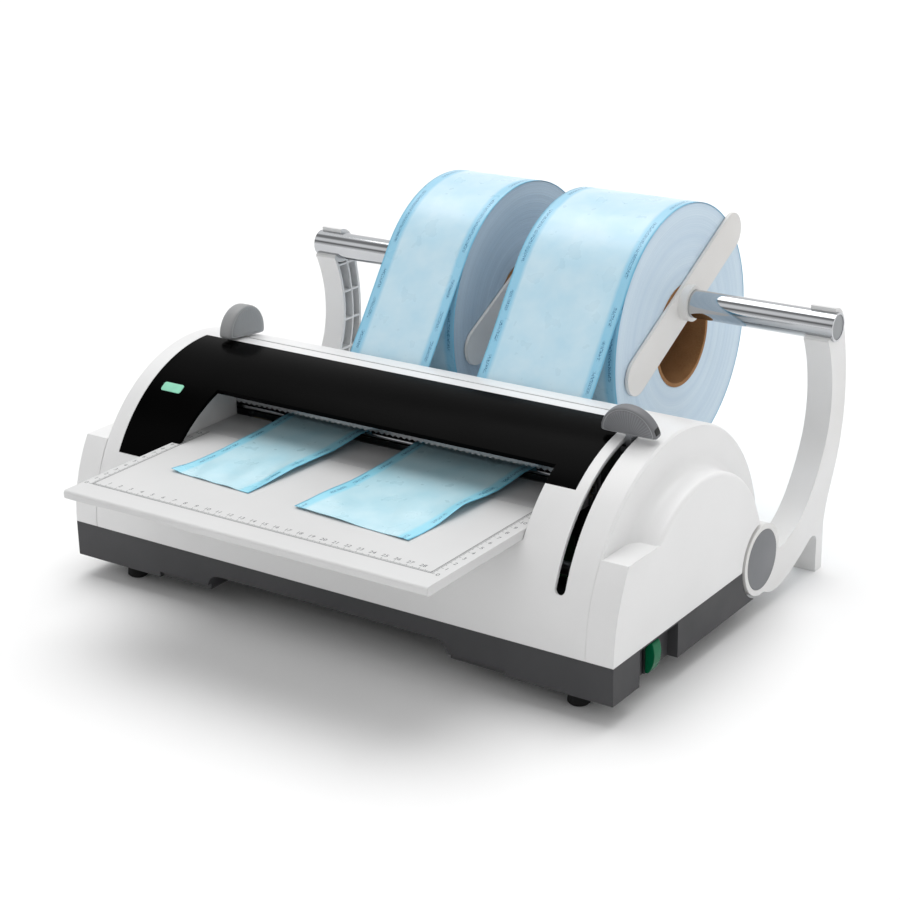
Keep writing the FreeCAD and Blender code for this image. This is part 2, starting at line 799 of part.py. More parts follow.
def side_frames():
    """Two steel plates that carry the shaft, bars, rail and brackets."""
    x0 = frame_x - frame_t / 2
    x1 = frame_x + frame_t / 2
    z0 = base_bottom + wall
    points = [(frame_front, z0), (frame_back, z0), (frame_back, frame_tower_z),
              (frame_notch_back, frame_tower_z), (frame_notch_back, frame_low_z),
              (bar_y + bar_w / 2 + 3.5, frame_low_z),
              (bar_y + bar_w / 2 + 3.5, frame_tower_z), (frame_front, frame_tower_z)]
    plate = slab_x(points, x0, x1)
    foot = box(x1 - 0.5, x1 + frame_foot, frame_front + 4, frame_back - 4, z0, z0 + frame_t)
    plate = fuse([plate, foot])
    guide_top = frame_tower_z + 1
    w = bar_w / 2 + skin_gap
    plate = plate.cut(box(x0 - 1, x1 + 1, bar_y - w, bar_y + w, film_z, guide_top))
    plate = plate.cut(rod_x(drum_y, drum_z, bush_r, x0 - 1, x1 + 1))
    plate = plate.cut(rod_x(exit_bar_y, exit_bar_z(), exit_bar_r, x0 - 1, x1 + 1))
    plate = plate.cut(rod_x(guide_y, guide_z(), guide_r, x0 - 1, x1 + 1))
    window = rounded_plate_x((frame_front + frame_back) / 2, 84.0, 40, 26, 6, x0 - 1, x1 + 1)
    return group(both(plate.cut(window)))


def shaft_bushes():
    """Bronze bushes in the side frames."""
    x0 = frame_x - frame_t / 2 - 3
    x1 = frame_x + frame_t / 2 + 0.3
    bush = rod_x(drum_y, drum_z, bush_r - run_gap, x0, x1)
    collar = rod_x(drum_y, drum_z, bush_r + 2, x0, frame_x - frame_t / 2)
    hole = rod_x(drum_y, drum_z, shaft_r + run_gap, x0 - 1, x1 + 1)
    return group(both(fuse([bush, collar]).cut(hole)))


def exit_bar_z():
    return film_z - film_gap - exit_bar_r


def exit_bar():
    half = frame_x + frame_t / 2
    return rod_x(exit_bar_y, exit_bar_z(), exit_bar_r - run_gap, -half, half)


def feed_guide():
    half = frame_x + frame_t / 2
    return rod_x(guide_y, guide_z(), guide_r - run_gap, -half, half)


def heater_top():
    return film_z - film_gap - tape_t


def heater_bar():
    """Aluminium heating bar with a bore for its element and a crowned top."""
    z1 = heater_top()
    bar = box(-heater_half, heater_half, bar_y - heater_w / 2, bar_y + heater_w / 2, z1 - heater_h, z1)
    top = [e for e in bar.Edges if abs(e.tangentAt(e.FirstParameter).x) > 0.99 and e.CenterOfMass.z > z1 - 1]
    bar = bar.makeChamfer(1.5, top)
    return bar.cut(rod_x(bar_y, z1 - heater_h / 2, heater_rod_r + run_gap, -heater_half - 1, heater_half + 1))


def heater_element():
    z = heater_top() - heater_h / 2
    return rod_x(bar_y, z, heater_rod_r, -heater_half - 1.5, heater_half + 1.5)


def heater_tape():
    """Non-stick tape along the top of the heating bar."""
    w = heater_w / 2 - 1.5
    return box(-heater_half, heater_half, bar_y - w, bar_y + w, heater_top(), heater_top() + tape_t)


def thermostat():
    """Round cut-out switch on the back of the heating bar."""
    y = bar_y + heater_w / 2
    z = heater_top() - heater_h / 2
    can = Part.makeCylinder(5.0, 4.0, Vec(40, y, z - 0.5), Y_AXIS)
    tabs = [box(36.5, 38.5, y + 4, y + 6.5, z - 2, z + 1), box(41.5, 43.5, y + 4, y + 6.5, z - 2, z + 1)]
    return fuse([can] + tabs)


def insulators():
    """Heat-proof blocks between the heating bar and its brackets."""
    z1 = heater_top() - heater_h
    block = box(bracket_in, heater_half, bar_y - heater_w / 2, bar_y + heater_w / 2, bracket_z, z1)
    return group(both(block))


def end_brackets():
    """Angle brackets on the side frames: each holds an end of the heating bar and a riveted guide post."""
    x1 = frame_x - frame_t / 2
    y0 = bar_y - bracket_lap
    y1 = bar_y + bracket_lap - 6
    shelf = box(bracket_in, x1, y0, y1, bracket_z - bracket_t, bracket_z)
    leg = box(x1 - bracket_t, x1, y0, y1, bracket_z - bracket_drop, bracket_z)
    post = rod_upright(post_x, bar_y, post_r, bracket_z - 1, pad_bottom() + pad_t + bar_h + 3)
    return group(both(fuse([shelf, leg, post])))


def return_springs():
    """Coil springs of square wire round the posts, between the brackets and the pressure bar."""
    length = pad_bottom() + pad_t - bracket_z
    mid_r = post_r + 0.4 + spring_wire / 2
    run = length - spring_wire - 0.02
    path = Part.makeHelix(run / spring_turns, run, mid_r)
    h = spring_wire / 2
    section = Part.makePolygon([Vec(mid_r - h, 0, -h), Vec(mid_r + h, 0, -h), Vec(mid_r + h, 0, h),
                                Vec(mid_r - h, 0, h), Vec(mid_r - h, 0, -h)])
    coil = Part.Wire(path).makePipeShell([section], True, True)
    coil.translate(Vec(post_x, bar_y, bracket_z + spring_wire / 2 + 0.01))
    other = coil.copy()
    other.translate(Vec(-2 * post_x, 0, 0))
    return group([coil, other])


def tear_guard():
    """Smoked strip that closes the space above the exit."""
    y1 = frame_front
    return box(-frame_x, frame_x, y1 - guard_t, y1, guard_bottom, guard_top)


def tear_edge():
    """Serrated stainless edge on the guard's lower lip."""
    half = opening_half - tray_fit
    count = int(2 * half / tooth_pitch)
    pitch = 2 * half / count
    points = [(-half, tear_bottom + tear_h), (-half, tear_bottom + tooth_h)]
    for i in range(count):
        points.append((-half + (i + 0.5) * pitch, tear_bottom))
        points.append((-half + (i + 1) * pitch, tear_bottom + tooth_h))
    points.append((half, tear_bottom + tear_h))
    y1 = frame_front - guard_t
    wire = Part.makePolygon([Vec(x, y1 - tear_t, z) for x, z in points + points[:1]])
    return Part.Face(wire).extrude(Vec(0, tear_t, 0))


def cutter_rail():
    """Extruded rail behind the cutter, with a groove that the carriage runs in."""
    y1 = frame_notch_back
    rail = box(-rail_half, rail_half, y1 - rail_t, y1, rail_z - rail_h / 2, rail_z + rail_h / 2)
    groove = box(-rail_half - 1, rail_half + 1, y1 - rail_t - 1, y1 - rail_t + groove_d,
                 rail_z - groove_h / 2, rail_z + groove_h / 2)
    return rail.cut(groove)


def cutter_carriage():
    """Nylon block that runs along the rail, with the stem up to its thumb piece."""
    face = frame_notch_back - rail_t - slide_gap
    front = cut_y - 4.5
    x0 = cutter_park - carriage_w / 2
    x1 = cutter_park + carriage_w / 2
    block = box(x0, x1, front, face, rail_z - 6, rail_z + 7)
    tongue = box(x0, x1, face - 0.5, face + groove_d, rail_z - groove_h / 2 + slide_gap,
                 rail_z + groove_h / 2 - slide_gap)
    stem = box(cutter_park - stem_w / 2, cutter_park + stem_w / 2, cut_y - stem_t / 2, cut_y + stem_t / 2,
               rail_z, cutter_top() + cutter_lift + socket_depth)
    body = fuse([block, tongue, stem])
    return body.cut(box(x0 - 1, x1 + 1, cut_y - blade_t / 2, cut_y + blade_t / 2, rail_z - 7, rail_z - 1))


def cutter_top():
    """Height of the drum above the cutter's slot."""
    return drum_z + math.sqrt(drum_r ** 2 - (cut_y - drum_y) ** 2)


def cutter_knob():
    """Thumb piece turned crosswise, tilted to follow the drum behind its top."""
    knob = half_moon(cutter_w, cutter_h, cutter_t)
    knob.rotate(Vec(0, 0, 0), Z_AXIS, -90)
    knob.translate(Vec(cutter_park, cut_y, cutter_top() + cutter_lift))
    tilt = math.degrees(math.asin((cut_y - drum_y) / drum_r))
    knob.rotate(Vec(cutter_park, cut_y, cutter_top()), X_AXIS, -tilt)
    socket = box(cutter_park - stem_w / 2 - run_gap, cutter_park + stem_w / 2 + run_gap,
                 cut_y - stem_t / 2 - run_gap, cut_y + stem_t / 2 + run_gap,
                 cutter_top() - 5, cutter_top() + cutter_lift + socket_depth + run_gap)
    return knob.cut(socket)


def cutter_blade():
    """Trapezoid blade held in the carriage, its tip just below the film."""
    top = rail_z - 1.0
    tip = film_z - blade_drop
    points = [(cutter_park - 9, top), (cutter_park + 9, top), (cutter_park + 9, rail_z - 8),
              (cutter_park, tip), (cutter_park - 9, rail_z - 8)]
    y0 = cut_y - blade_t / 2 + 0.02
    wire = Part.makePolygon([Vec(x, y0, z) for x, z in points + points[:1]])
    return Part.Face(wire).extrude(Vec(0, blade_t - 0.04, 0))


def cut_bed():
    """Plastic bar under the film with a groove for the blade's tip."""
    z1 = film_z - film_gap
    half = frame_x - frame_t / 2
    bed = box(-half, half, cut_y - bed_w / 2, cut_y + bed_w / 2, z1 - bed_h, z1)
    return bed.cut(box(-half - 1, half + 1, cut_y - 0.8, cut_y + 0.8, film_z - blade_drop - 0.6, z1 + 1))


def rocker_pivot_x():
    return half_width - pocket_depth + bezel_t - rocker_axle


def switch_frame():
    """Switch body and bezel in the side recess, with bearing holes for the rocker's stubs."""
    x0 = half_width - pocket_depth
    bezel = rounded_plate_x(switch_y, switch_z, switch_w, switch_h, 1.5, x0, x0 + bezel_t)
    body = rounded_plate_x(switch_y, switch_z, switch_w - 2 * switch_rim, switch_body_h, 1.0,
                           x0 - switch_depth, x0 + 0.5)
    body = fuse([bezel, body])
    mouth = rounded_plate_x(switch_y, switch_z, rocker_w + rocker_gap, rocker_h + 2 * rocker_gap, 0.3,
                            x0, x0 + bezel_t + 1)
    well = rounded_plate_x(switch_y, switch_z, rocker_w + rocker_gap, switch_body_h - 2 * well_wall, 0.3,
                           x0 - well_depth, x0 + 1)
    axle = Part.makeCylinder(axle_r + run_gap, switch_w,
                             Vec(rocker_pivot_x(), switch_y - switch_w / 2, switch_z), Y_AXIS)
    return body.cut(mouth).cut(well).cut(axle)


def power_rocker():
    """Green rocker with a convex face, its upper half out at rest, on two stubs."""
    x = half_width - pocket_depth + bezel_t
    h = rocker_h / 2
    out = x + rocker_out
    face = Part.Arc(Vec(out, 0, -h + 1), Vec(out + rocker_bulge, 0, 0), Vec(out, 0, h - 1)).toShape()
    root = rocker_root_h / 2
    lip = x + rocker_gap / 2
    inner = x - rocker_root_t
    rest = Part.makePolygon([Vec(out, 0, h - 1), Vec(out - 1, 0, h), Vec(lip, 0, h), Vec(lip, 0, root),
                             Vec(inner, 0, 2.5), Vec(inner, 0, -2.5), Vec(lip, 0, -root), Vec(lip, 0, -h),
                             Vec(out - 1, 0, -h), Vec(out, 0, -h + 1)])
    body = Part.Face(Part.Wire([face] + rest.Edges)).extrude(Vec(0, rocker_w, 0))
    body.translate(Vec(0, switch_y - rocker_w / 2, switch_z))
    stub = switch_w / 2 - switch_rim - switch_play
    axle = Part.makeCylinder(axle_r, 2 * stub, Vec(rocker_pivot_x(), switch_y - stub, switch_z), Y_AXIS)
    body = fuse([body, axle])
    body.rotate(Vec(rocker_pivot_x(), 0, switch_z), Y_AXIS, rocker_tilt)
    return body


def mains_inlet():
    """Recessed three-pin inlet in the back of the base."""
    back = drum_y + drum_r
    w = inlet_w / 2
    h = inlet_h / 2
    flange = box(inlet_x - w - 2, inlet_x + w + 2, back, back + flange_t,
                 inlet_z - h - 1.5, inlet_z + h + 1.5)
    body = box(inlet_x - w, inlet_x + w, back - inlet_depth, back, inlet_z - h, inlet_z + h)
    cup = box(inlet_x - w + 1.6, inlet_x + w - 1.6, back - inlet_depth + 3, back + flange_t + 1,
              inlet_z - h + 1.6, inlet_z + h - 1.6)
    return fuse([flange, body]).cut(cup)


def inlet_pins():
    back = drum_y + drum_r
    y0 = back - inlet_depth + 3
    pins = []
    for x, z in ((-7, -1.5), (0, 2.5), (7, -1.5)):
        pins.append(box(inlet_x + x - 1, inlet_x + x + 1, y0, back - 1, inlet_z + z - 2, inlet_z + z + 2))
    return group(pins)


def fuse_holder():
    back = drum_y + drum_r
    barrel = Part.makeCylinder(fuse_r - 1, 20, Vec(fuse_x, back - 20, inlet_z), Y_AXIS)
    cap = Part.makeCylinder(fuse_r, 3, Vec(fuse_x, back, inlet_z), Y_AXIS)
    slot = box(fuse_x - 4, fuse_x + 4, back + 2, back + 4, inlet_z - 0.6, inlet_z + 0.6)
    return fuse([barrel, cap]).cut(slot)


def board_z():
    return base_bottom + wall + standoff_h


def control_board():
    x0 = board_x - board_w / 2
    y0 = board_y - board_d / 2
    return box(x0, x0 + board_w, y0, y0 + board_d, board_z(), board_z() + board_t)


def on_board(u, v, w, d, h):
    """Block on the board: corner u, v and size w, d as shares of the board's own width and depth."""
    x0 = board_x + u * board_w
    y0 = board_y + v * board_d
    z0 = board_z() + board_t
    return box(x0, x0 + w * board_w, y0, y0 + d * board_d, z0, z0 + h)


def board_parts():
    """Relay, connector, regulator and its heat sink, and three capacitors on the board."""
    tall = standoff_h * 3
    parts = [on_board(-0.42, -0.40, 0.16, 0.23, tall * 0.83),
             on_board(0.25, 0.26, 0.20, 0.14, tall * 0.61),
             on_board(-0.08, 0.07, 0.10, 0.17, tall * 0.22),
             on_board(0.10, -0.37, 0.13, 0.07, tall)]
    z = board_z() + board_t
    r = board_d / 14
    for i in range(3):
        x = board_x + (-0.33 + 0.12 * i) * board_w
        parts.append(rod_upright(x, board_y + 0.29 * board_d, r, z, z + tall * 0.67))
    return group(parts)


def transformer():
    """Laminated core with its winding, on the base floor."""
    z = base_bottom + wall
    w = 3 * limb_w
    core = box(core_x - w, core_x + w, core_y - stack_t / 2, core_y + stack_t / 2, z, z + 5 * limb_w)
    windows = []
    for x in (core_x - 2 * limb_w, core_x + limb_w):
        windows.append(box(x, x + limb_w, core_y - stack_t, core_y + stack_t, z + limb_w, z + 4 * limb_w))
    return core.cut(group(windows))


def transformer_coil():
    """Winding round the middle limb."""
    z0 = base_bottom + wall + limb_w
    z1 = z0 + 3 * limb_w
    w = 2 * limb_w - coil_gap
    d = stack_t / 2 + coil_out
    coil = box(core_x - w, core_x + w, core_y - d, core_y + d, z0 + coil_gap, z1 - coil_gap)
    w = limb_w + coil_gap
    d = stack_t / 2 + coil_gap
    return coil.cut(box(core_x - w, core_x + w, core_y - d, core_y + d, z0 - 1, z1 + 1))


def end_switch():
    """Small switch on the right frame, its lever where the crank's nose stops."""
    x0 = frame_x + frame_t / 2
    y0 = drum_y + crank_nose - 2
    y1 = y0 + end_switch_l
    z0 = drum_z + crank_r - 2
    body = box(x0, x0 + end_switch_w, y0, y1, z0, z0 + end_switch_h)
    lever = slab_x([(y1 - 1, z0), (y0 - 2, z0 - 2.6), (y0 - 2, z0 - 3.2), (y1 - 1, z0 - 0.8)], x0 + 1.5,
                   x0 + end_switch_w - 1.5)
    return fuse([body, lever])


def base_screws():
    """Screws up through the floor, one beside each foot."""
    solids = []
    for x in (-foot_x + 22, foot_x - 22):
        for y in (foot_front + 18, foot_back):
            head = rod_upright(x, y, screw_r, base_bottom - 2.0, base_bottom)
            slot = box(x - screw_r, x + screw_r, y - 0.5, y + 0.5, base_bottom - 2.5, base_bottom - 1.0)
            solids.append(head.cut(slot))
    return group(solids)


def curve_through(points, x):
    curve = Part.BSplineCurve()
    curve.interpolate([Vec(x, y, z) for y, z in points])
    return curve


def wire_of_runs(runs, x):
    """Closed outline in the YZ plane from runs: two points make a line, more make a smooth curve."""
    edges = []
    for run in runs:
        if len(run) == 2:
            edges.append(Part.makeLine(Vec(x, *run[0]), Vec(x, *run[1])))
        else:
            edges.append(curve_through(run, x).toShape())
    return Part.Wire(edges)


def shifted(run, d):
    """The same run moved sideways, to the left of its direction."""
    curve = curve_through(run, 0.0)
    moved = []
    for y, z in run:
        t = curve.tangent(curve.parameter(Vec(0, y, z)))[0]
        moved.append((y - d * t.z, z + d * t.y))
    return moved


def arm_runs():
    """Front edge, back edge and lower edge of the arm, each from the rod or the leg towards the hub."""
    front = [(rod_y - 11.5, rod_z - 9.0), (hub_y + 107, drum_z + 106), (hub_y + 104.5, drum_z + 68),
             (hub_y + 90.5, drum_z + 40), (hub_y + 63, drum_z + 11), (hub_y + 42, drum_z + 1.5),
             (hub_y + 20, drum_z - 2)]
    back = [(rod_y + rod_r + clip_t - 0.5, rod_z + 2.0), (rod_y + 23, rod_z - 48), (rod_y + 20.5, rod_z - 84),
            (rod_y + 12, rod_z - 110), (leg_back + 2.5, 46), (leg_back, 34)]
    under = [(leg_back - leg_w, 24), (leg_back - 12.5, 29.5), (leg_back - 18.5, 32), (leg_back - 27, 29),
             (leg_back - 47, 20), (leg_back - 60, 15.0), (leg_back - 80, 12.0),
             (hub_y + 4, drum_z - hub_r + 0.4)]
    return front, back, under


def arm_outline():
    front, back, under = arm_runs()
    heel = (leg_back, 0.0)
    toe = (leg_back - leg_w, 0.0)
    centre = (hub_y, drum_z)
    return [[centre, front[-1]], front[::-1], [front[0], back[0]], back, [back[-1], heel], [heel, toe],
            [toe, under[0]], under, [under[-1], centre]]


def arm_pocket():
    """The arm's hollow, one wall inside its outline, between hub and rod."""
    front, back, under = arm_runs()
    front = shifted(front, arm_wall)
    back = shifted(back, -arm_wall)
    under = shifted(under[2:], -arm_wall)
    centre = (hub_y, drum_z)
    return [[centre, front[-1]], front[::-1], [front[0], back[0]], back, [back[-1], under[0]], under,
            [under[-1], centre]]


def clip_gap(r, x0, x1):
    """Wedge that opens the rod clip towards the front."""
    a0 = math.radians(clip_open_from)
    a1 = math.radians(clip_open_to)
    mid = (a0 + a1) / 2
    points = [(rod_y, rod_z)]
    for a in (a0, mid, a1):
        points.append((rod_y + 3 * r * math.cos(a), rod_z + 3 * r * math.sin(a)))
    return slab_x(points, x0, x1)


def arm_ribs(x0, x1):
    """Level ribs across the arm's hollow and one that runs up its middle."""
    front, back, under = arm_runs()
    middle = [((a[0] + b[0]) / 2, (a[1] + b[1]) / 2) for a, b in zip(front[:4], back[:4])]
    side = shifted(middle, rib_t)
    strip = wire_of_runs([middle, [middle[-1], side[-1]], side[::-1], [side[0], middle[0]]], x0)
    ribs = [Part.Face(strip).extrude(Vec(x1 - x0, 0, 0))]
    for i in range(5):
        z = drum_z + 30 + 25 * i
        ribs.append(box(x0, x1, hub_y + 60, rod_y + 40, z - rib_t / 2, z + rib_t / 2))
    for y in (hub_y + 48, hub_y + 68, hub_y + 88):
        ribs.append(box(x0, x1, y - rib_t / 2, y + rib_t / 2, 5, drum_z + 30))
    return fuse(ribs)


def arm():
    """Right arm: a channel open on its inner side, with ribs, a hub, a leg and a rod clip."""
    face = arm_out - arm_wall
    limb = Part.Face(wire_of_runs(arm_outline(), arm_in)).extrude(Vec(arm_out - arm_in, 0, 0))
    hub = rod_x(hub_y, drum_z, hub_r, arm_in, arm_out)
    clip = rod_x(rod_y, rod_z, rod_r + clip_t, arm_in, arm_out)
    pocket = Part.Face(wire_of_runs(arm_pocket(), arm_in - 1)).extrude(Vec(face - arm_in + 1, 0, 0))
    pocket = pocket.cut(arm_ribs(arm_in, face + 1))
    solid = fuse([limb.cut(pocket), hub, clip])
    hollow = rod_x(hub_y, drum_z, hub_r - arm_wall, arm_in - 1, face - cap_t - 2)
    hollow = hollow.cut(rod_x(hub_y, drum_z, hub_boss_r + 2, arm_in - 2, arm_out))
    solid = solid.cut(hollow)
    solid = solid.cut(rod_x(hub_y, drum_z, cap_r + 0.2, arm_out - cap_t, arm_out + 1))
    solid = solid.cut(rod_x(hub_y, drum_z, hub_screw_r + run_gap, arm_in - 1, arm_out + 1))
    solid = solid.cut(rod_x(hub_y, drum_z, 2 * hub_screw_r + 0.3, arm_out - cap_t - 5, arm_out + 1))
    solid = solid.cut(rod_x(rod_y, rod_z, rod_r + run_gap, arm_in - 1, arm_out + 1))
    return solid.cut(clip_gap(rod_r, arm_in - 1, arm_out + 1))


def hub_cap():
    """Grey cap, slightly crowned, over the hub screw."""
    x0 = arm_out - cap_t
    radius = (cap_r ** 2 + cap_dome ** 2) / (2 * cap_dome)
    disc = rod_x(hub_y, drum_z, cap_r, x0, arm_out + cap_dome)
    crown = Part.makeSphere(radius, Vec(arm_out + cap_dome - radius, hub_y, drum_z))
    return disc.common(crown)


def hub_screw():
    """Pan-head screw through the arm's hub into the base."""
    head = rod_x(hub_y, drum_z, 2 * hub_screw_r, arm_out - cap_t - 5, arm_out - cap_t - 0.5)
    shank = rod_x(hub_y, drum_z, hub_screw_r, drum_half - 12, arm_out - cap_t - 4)
    cross = box(arm_out - cap_t - 2.5, arm_out, hub_y - 3, hub_y + 3, drum_z - 0.6, drum_z + 0.6)
    cross = cross.fuse(box(arm_out - cap_t - 2.5, arm_out, hub_y - 0.6, hub_y + 0.6, drum_z - 3, drum_z + 3))
    return fuse([head, shank]).cut(cross)


def roll_rod():
    """Chromed tube in the arms' clips."""
    tube = rod_x(rod_y, rod_z, rod_r, -rod_half, rod_half)
    return tube.cut(rod_x(rod_y, rod_z, rod_bore, -rod_half - 1, rod_half + 1))


def rod_plugs():
    plug = rod_x(rod_y, rod_z, rod_bore - run_gap, rod_half - plug_len, rod_half - 0.5)
    return group(both(plug))


def roll_core(left, width):
    """Cardboard core."""
    z = roll_axis_z()
    core = rod_x(rod_y, z, core_r + core_wall, left, left + width)
    return core.cut(rod_x(rod_y, z, core_r, left - 1, left + width + 1))


def film_roll(left, width):
    """Wound film on its core."""
    z = roll_axis_z()
    film = rod_x(rod_y, z, roll_r, left, left + width)
    return film.cut(rod_x(rod_y, z, core_r + core_wall + wind_gap, left - 1, left + width + 1))


def film_web(left, width):
    """Free run of film: off the roll, through the rear slot, under the guide and on to the cutter."""
    slope, low, high = film_line()
    n = (-math.sin(slope), math.cos(slope))
    t = film_t / 2
    g = (guide_y, guide_z())
    inner = guide_r + film_gap
    outer = inner + film_t

    def at(p):
        return Vec(left, p[0], p[1])

    def polar(r, a):
        return (g[0] + r * math.cos(a), g[1] + r * math.sin(a))

    end = cut_y + cut_gap / 2
    low_in = (low[0] + n[0] * t, low[1] + n[1] * t)
    low_out = (low[0] - n[0] * t, low[1] - n[1] * t)
    high_in = (high[0] + n[0] * t, high[1] + n[1] * t)
    high_out = (high[0] - n[0] * t, high[1] - n[1] * t)
    floor_in = (g[0], g[1] - inner)
    floor_out = (g[0], g[1] - outer)
    mid = -math.pi / 2 + slope / 2
    wire = Part.Wire([
        Part.makeLine(at((end, floor_in[1])), at(floor_in)),
        Part.Arc(at(floor_in), at(polar(inner, mid)), at(low_in)).toShape(),
        Part.makeLine(at(low_in), at(high_in)),
        Part.makeLine(at(high_in), at(high_out)),
        Part.makeLine(at(high_out), at(low_out)),
        Part.Arc(at(low_out), at(polar(outer, mid)), at(floor_out)).toShape(),
        Part.makeLine(at(floor_out), at((end, floor_out[1]))),
        Part.makeLine(at((end, floor_out[1])), at((end, floor_in[1])))])
    return Part.Face(wire).extrude(Vec(width, 0, 0))


def pouch(left, width, front):
    """Cut length of film: level through the sealing station, down to the table and flat on the tray."""
    start = cut_y - cut_gap / 2 - width / 2 * abs(math.sin(math.radians(pouch_skew)))
    low = table_z + lie_gap
    steps = 6

    def drop(i):
        u = i / steps
        y = drop_from + (drop_to - drop_from) * u
        ease = u * u * (3 - 2 * u)
        return y, film_z + (low - film_z) * ease

    lower = Part.BSplineCurve()
    lower.interpolate([Vec(left, y, z) for y, z in [drop(i) for i in range(steps + 1)]])
    upper = Part.BSplineCurve()
    upper.interpolate([Vec(left, y, z + film_t) for y, z in [drop(i) for i in range(steps + 1)]])

    def at(y, z):
        return Vec(left, y, z)

    wire = Part.Wire([
        Part.makeLine(at(start, film_z), at(drop_from, film_z)), lower.toShape(),
        Part.makeLine(at(drop_to, low), at(front, low)),
        Part.makeLine(at(front, low), at(front, low + film_t)),
        Part.makeLine(at(front, low + film_t), at(drop_to, low + film_t)), upper.toShape(),
        Part.makeLine(at(drop_from, film_z + film_t), at(start, film_z + film_t)),
        Part.makeLine(at(start, film_z + film_t), at(start, film_z))])
    sheet = Part.Face(wire).extrude(Vec(width, 0, 0))
    sheet.rotate(Vec(left + width / 2, drop_from, 0), Z_AXIS, pouch_skew)
    return sheet


def divider(left):
    """Paddle between rolls: a long rounded plate with a snap ring round the rod."""
    half = divider_len / 2 - divider_w / 2
    x1 = left + divider_t
    plate = box(left, x1, rod_y - half, rod_y + half, rod_z - divider_w / 2, rod_z + divider_w / 2)
    ends = [rod_x(y, rod_z, divider_w / 2, left, x1) for y in (rod_y - half, rod_y + half)]
    plate = plate.fuse(ends).removeSplitter()
    plate.rotate(Vec(0, rod_y, rod_z), X_AXIS, divider_angle)
    hub = rod_x(rod_y, rod_z, rod_r + 3, left, x1 + divider_hub)
    whole = fuse([plate, hub]).cut(rod_x(rod_y, rod_z, rod_r + run_gap, left - 1, x1 + divider_hub + 1))
    mouth = slab_x([(rod_y, rod_z), (rod_y + 40, rod_z - 55), (rod_y + 60, rod_z - 10),
                    (rod_y + 40, rod_z + 26)], left + divider_t, x1 + divider_hub + 1)
    entry = box(left - 1, x1 + 1, rod_y, rod_y + 2 * divider_w, rod_z - 9, rod_z + 9)
    entry.rotate(Vec(0, rod_y, rod_z), X_AXIS, -62 + divider_angle)
    return whole.cut(mouth).cut(entry)


def nodes():
    roll_a_right = roll_a_left + roll_a_width
    roll_b_right = roll_b_left + roll_b_width
    return {
        "base_tub": base_tub(),
        "upper_housing": upper_housing(),
        "front_cover": front_cover(),
        "indicator_lens": indicator_lens(),
        "lamp_board": lamp_board(),
        "table_plate": table_plate(),
        "ruler_tray": tray(),
        "rubber_feet": feet(),
        "base_screws": base_screws(),
        "seal_handle": seal_handle(),
        "handle_lever": handle_lever(),
        "lever_shaft": lever_shaft(),
        "shaft_cranks": shaft_cranks(),
        "shaft_bushes": shaft_bushes(),
        "side_frames": side_frames(),
        "pressure_bar": pressure_bar(),
        "silicone_pad": silicone_pad(),
        "bar_yokes": bar_yokes(),
        "return_springs": return_springs(),
        "heater_bar": heater_bar(),
        "heater_element": heater_element(),
        "heater_tape": heater_tape(),
        "thermostat": thermostat(),
        "heater_insulators": insulators(),
        "end_brackets": end_brackets(),
        "exit_bar": exit_bar(),
        "feed_guide": feed_guide(),
        "tear_guard": tear_guard(),
        "tear_edge": tear_edge(),
        "cutter_rail": cutter_rail(),
        "cutter_carriage": cutter_carriage(),
        "cutter_blade": cutter_blade(),
        "cutter_knob": cutter_knob(),
        "cut_bed": cut_bed(),
        "switch_body": switch_frame(),
        "power_rocker": power_rocker(),
        "mains_inlet": mains_inlet(),
        "inlet_pins": inlet_pins(),
        "fuse_holder": fuse_holder(),
        "control_board": control_board(),
        "board_parts": board_parts(),
        "transformer_core": transformer(),
        "transformer_coil": transformer_coil(),
        "end_switch": end_switch(),
        "arm_right": arm(),
        "arm_left": mirror(arm()),
        "hub_caps": group(both(hub_cap())),
        "hub_screws": group(both(hub_screw())),
        "roll_rod": roll_rod(),
        "rod_plugs": rod_plugs(),
        "core_a": roll_core(roll_a_left, roll_a_width),
        "film_roll_a": film_roll(roll_a_left, roll_a_width),
        "film_web_a": film_web(roll_a_left, roll_a_width),
        "pouch_a": pouch(roll_a_left, roll_a_width, pouch_a_front),
        "core_b": roll_core(roll_b_left, roll_b_width),
        "film_roll_b": film_roll(roll_b_left, roll_b_width),
        "film_web_b": film_web(roll_b_left, roll_b_width),
        "pouch_b": pouch(roll_b_left, roll_b_width, pouch_b_front),
        "divider_a": divider(roll_a_right + divider_gap),
        "divider_b": divider(roll_b_right + divider_gap),
    }


os.makedirs("parts", exist_ok=True)
for name, shape in nodes().items():
    shape.exportStep("parts/" + name + ".step")
    print(name, len(shape.Solids), round(shape.Volume / 1000.0, 2), shape.isValid())
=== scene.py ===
import bpy
import math
import numpy as np
from mathutils import Matrix, Vector


